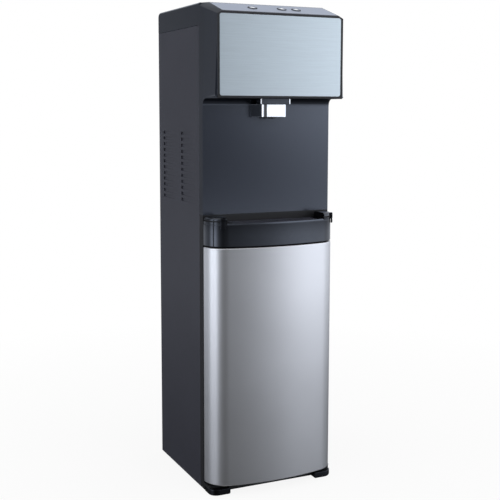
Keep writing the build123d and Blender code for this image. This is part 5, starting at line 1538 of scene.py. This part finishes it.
class DISPENSER_OT_studio(bpy.types.Operator):
    """Set the floor, the lamps, the reflection screen and the camera"""

    bl_idname = "dispenser.studio"
    bl_label = "Studio"

    def execute(self, context):
        studio = settings("studio")
        context.scene.view_settings.view_transform = "Standard"
        self.floor(studio)
        self.world(context.scene, studio)
        for name, degrees, reach, z, width, height, power in SOFTBOXES:
            turn = radians(degrees)
            place = (reach * sin(turn), -reach * cos(turn), z)
            self.lamp(name, place, (pi / 2, 0, turn), width, height, power)
        self.lamp("top_softbox", TOP_PLACE, (0, 0, 0), TOP_SIDE, TOP_SIDE, TOP_POWER)
        self.surround(studio)
        self.camera(context.scene, studio)
        return {"FINISHED"}

    def floor(self, studio):
        """A pale floor that keeps the shadow near the object and runs out into the white background."""
        clear_selection()
        bpy.ops.mesh.primitive_plane_add(size=studio.floor_size, location=(0, 0, 0))
        piece = bpy.context.object
        piece.name = "studio_floor"
        material, tree, output, place = start_material("pale_floor")
        grain = add_node(tree, "ShaderNodeTexNoise", {"Scale": per_metre(FLOOR_MM)}, {"Vector": place})
        stops = spread_stops(linear(studio.floor), FLOOR_SPREAD)
        tint = add_node(tree, "ShaderNodeValToRGB", links={"Fac": grain.outputs["Fac"]}, stops=stops)
        matte = add_node(tree, "ShaderNodeBsdfDiffuse", links={"Color": tint.outputs["Color"]})
        white = add_node(tree, "ShaderNodeEmission", {"Strength": 1.0})
        ray = add_node(tree, "ShaderNodeLightPath")
        reach = add_node(tree, "ShaderNodeVectorMath", links={0: place}, operation="LENGTH")
        shares = {
            "From Min": studio.shadow_reach,
            "From Max": studio.white_reach,
            "To Min": studio.floor_white,
            "To Max": 1.0,
        }
        blend = add_node(tree, "ShaderNodeMapRange", shares, {"Value": reach.outputs["Value"]})
        factors = {0: ray.outputs["Is Camera Ray"], 1: blend.outputs["Result"]}
        seen = add_node(tree, "ShaderNodeMath", links=factors, operation="MULTIPLY")
        shaders = {0: seen.outputs["Value"], 1: matte.outputs["BSDF"], 2: white.outputs["Emission"]}
        mix = add_node(tree, "ShaderNodeMixShader", links=shaders)
        tree.links.new(mix.outputs["Shader"], output.inputs["Surface"])
        piece.data.materials.append(material)
        piece.visible_glossy = False
        piece.visible_diffuse = False

    def world(self, scene, studio):
        """White to the eye and in reflections, and a fill light that is weaker from below."""
        world = bpy.data.worlds.new("studio_air")
        world.use_nodes = True
        tree = world.node_tree
        tree.nodes.clear()
        output = add_node(tree, "ShaderNodeOutputWorld")
        ray = add_node(tree, "ShaderNodeLightPath").outputs
        rays = {0: ray["Is Camera Ray"], 1: ray["Is Glossy Ray"]}
        shiny = add_node(tree, "ShaderNodeMath", links=rays, operation="MAXIMUM")
        rays = {0: shiny.outputs["Value"], 1: ray["Is Transmission Ray"]}
        clear = add_node(tree, "ShaderNodeMath", links=rays, operation="MAXIMUM")
        place = add_node(tree, "ShaderNodeTexCoord")
        height = add_node(tree, "ShaderNodeSeparateXYZ", links={"Vector": place.outputs["Generated"]})
        levels = {"From Min": -0.5, "From Max": 0.5, "To Min": studio.low_fill, "To Max": studio.fill}
        level = add_node(tree, "ShaderNodeMapRange", levels, {"Value": height.outputs["Z"]})
        colour_value = {"Color": (1, 1, 1, 1)}
        fill = add_node(tree, "ShaderNodeBackground", colour_value, {"Strength": level.outputs["Result"]})
        white = add_node(tree, "ShaderNodeBackground", {**colour_value, "Strength": 1.0})
        shaders = {0: clear.outputs["Value"], 1: fill.outputs["Background"], 2: white.outputs["Background"]}
        mix = add_node(tree, "ShaderNodeMixShader", links=shaders)
        tree.links.new(mix.outputs["Shader"], output.inputs["Surface"])
        scene.world = world

    def lamp(self, name, place, rotation, width, height, power):
        """A soft lamp that the reflections don't show."""
        clear_selection()
        bpy.ops.object.light_add(type="AREA", location=place, rotation=rotation)
        lamp = bpy.context.object
        lamp.name = name
        lamp.data.shape = "RECTANGLE"
        lamp.data.size = width
        lamp.data.size_y = height
        lamp.data.energy = power
        lamp.visible_glossy = False

    def surround(self, studio):
        """A round screen with soft bright and dark fields, which only the reflections show."""
        clear_selection()
        low_z, high_z = studio.screen_low_z, studio.screen_high_z
        bpy.ops.mesh.primitive_cylinder_add(
            vertices=96,
            radius=studio.screen_radius,
            depth=high_z - low_z,
            end_fill_type="NOTHING",
            location=(0, 0, (low_z + high_z) / 2),
        )
        piece = name_new("reflection_screen")
        material, tree, output, place = start_material("graded_screen")
        part = add_node(tree, "ShaderNodeSeparateXYZ", links={"Vector": place}).outputs
        front = add_node(tree, "ShaderNodeMath", {1: -1.0}, {0: part["Y"]}, operation="MULTIPLY")
        sides = {0: part["X"], 1: front.outputs["Value"]}
        turn = add_node(tree, "ShaderNodeMath", links=sides, operation="ARCTAN2")
        around_ends = {"From Min": -pi, "From Max": pi}
        around = add_node(tree, "ShaderNodeMapRange", around_ends, {"Value": turn.outputs["Value"]})
        up_ends = {"From Min": low_z, "From Max": high_z}
        up = add_node(tree, "ShaderNodeMapRange", up_ends, {"Value": part["Z"]})
        glow = None
        for turn_levels, height_levels in SCREEN:
            factors = {}
            graded = ((around, turn_levels, -180, 180), (up, height_levels, low_z, high_z))
            for index, (source, levels, low, high) in enumerate(graded):
                stops = [((at - low) / (high - low), (level, level, level, 1.0)) for at, level in levels]
                links = {"Fac": source.outputs["Result"]}
                ramp = add_node(tree, "ShaderNodeValToRGB", links=links, stops=stops)
                factors[index] = ramp.outputs["Color"]
            field = add_node(tree, "ShaderNodeMath", links=factors, operation="MULTIPLY")
            if glow:
                fields = {0: glow.outputs["Value"], 1: field.outputs["Value"]}
                field = add_node(tree, "ShaderNodeMath", links=fields, operation="MAXIMUM")
            glow = field
        strength = {1: studio.screen}
        power = add_node(tree, "ShaderNodeMath", strength, {0: glow.outputs["Value"]}, operation="MULTIPLY")
        tone = {"Color": linear(studio.screen_colour)}
        shader = add_node(tree, "ShaderNodeEmission", tone, {"Strength": power.outputs["Value"]})
        tree.links.new(shader.outputs["Emission"], output.inputs["Surface"])
        piece.data.materials.append(material)
        piece.visible_camera = False
        piece.visible_diffuse = False
        piece.visible_shadow = False

    def camera(self, scene, studio):
        clear_selection()
        bpy.ops.object.camera_add(
            location=(studio.camera_x, studio.camera_y, studio.camera_z),
            rotation=(pi / 2 - studio.pitch, studio.roll, -studio.yaw),
        )
        camera = bpy.context.object
        camera.name = "photo_camera"
        camera.data.sensor_width = studio.sensor
        camera.data.lens = studio.lens
        camera.data.shift_y = studio.shift
        scene.camera = camera


class DISPENSER_PT_panel(bpy.types.Panel):
    """Lists the dispenser's pieces and sizes"""

    bl_idname = "DISPENSER_PT_panel"
    bl_label = "Water Dispenser"
    bl_space_type = "VIEW_3D"
    bl_region_type = "UI"
    bl_category = "Dispenser"

    def draw(self, context):
        for operator in OPERATORS:
            self.layout.operator(operator.bl_idname)
        for name in GROUP_NAMES:
            group = settings(name)
            box = self.layout.box()
            for key in group.__annotations__:
                box.prop(group, key)


OPERATORS = (
    DISPENSER_OT_finishes,
    DISPENSER_OT_side_panels,
    DISPENSER_OT_top_cover,
    DISPENSER_OT_front_moulding,
    DISPENSER_OT_fascia,
    DISPENSER_OT_buttons,
    DISPENSER_OT_nozzle,
    DISPENSER_OT_door,
    DISPENSER_OT_tray,
    DISPENSER_OT_feet,
    DISPENSER_OT_condenser,
    DISPENSER_OT_studio,
)


def register():
    for group, name in zip(GROUPS, GROUP_NAMES):
        bpy.utils.register_class(group)
        setattr(bpy.types.Scene, "dispenser_" + name, bpy.props.PointerProperty(type=group))
    for operator in OPERATORS:
        bpy.utils.register_class(operator)
    bpy.utils.register_class(DISPENSER_PT_panel)


def unregister():
    bpy.utils.unregister_class(DISPENSER_PT_panel)
    for operator in reversed(OPERATORS):
        bpy.utils.unregister_class(operator)
    for group, name in zip(GROUPS, GROUP_NAMES):
        delattr(bpy.types.Scene, "dispenser_" + name)
        bpy.utils.unregister_class(group)


def main():
    register()
    bpy.ops.dispenser.finishes()
    bpy.ops.dispenser.side_panels()
    bpy.ops.dispenser.top_cover()
    bpy.ops.dispenser.front_moulding()
    bpy.ops.dispenser.fascia()
    bpy.ops.dispenser.buttons()
    bpy.ops.dispenser.nozzle()
    bpy.ops.dispenser.door()
    bpy.ops.dispenser.tray()
    bpy.ops.dispenser.feet()
    bpy.ops.dispenser.condenser()
    bpy.ops.dispenser.studio()


if __name__ == "__main__":
    main()
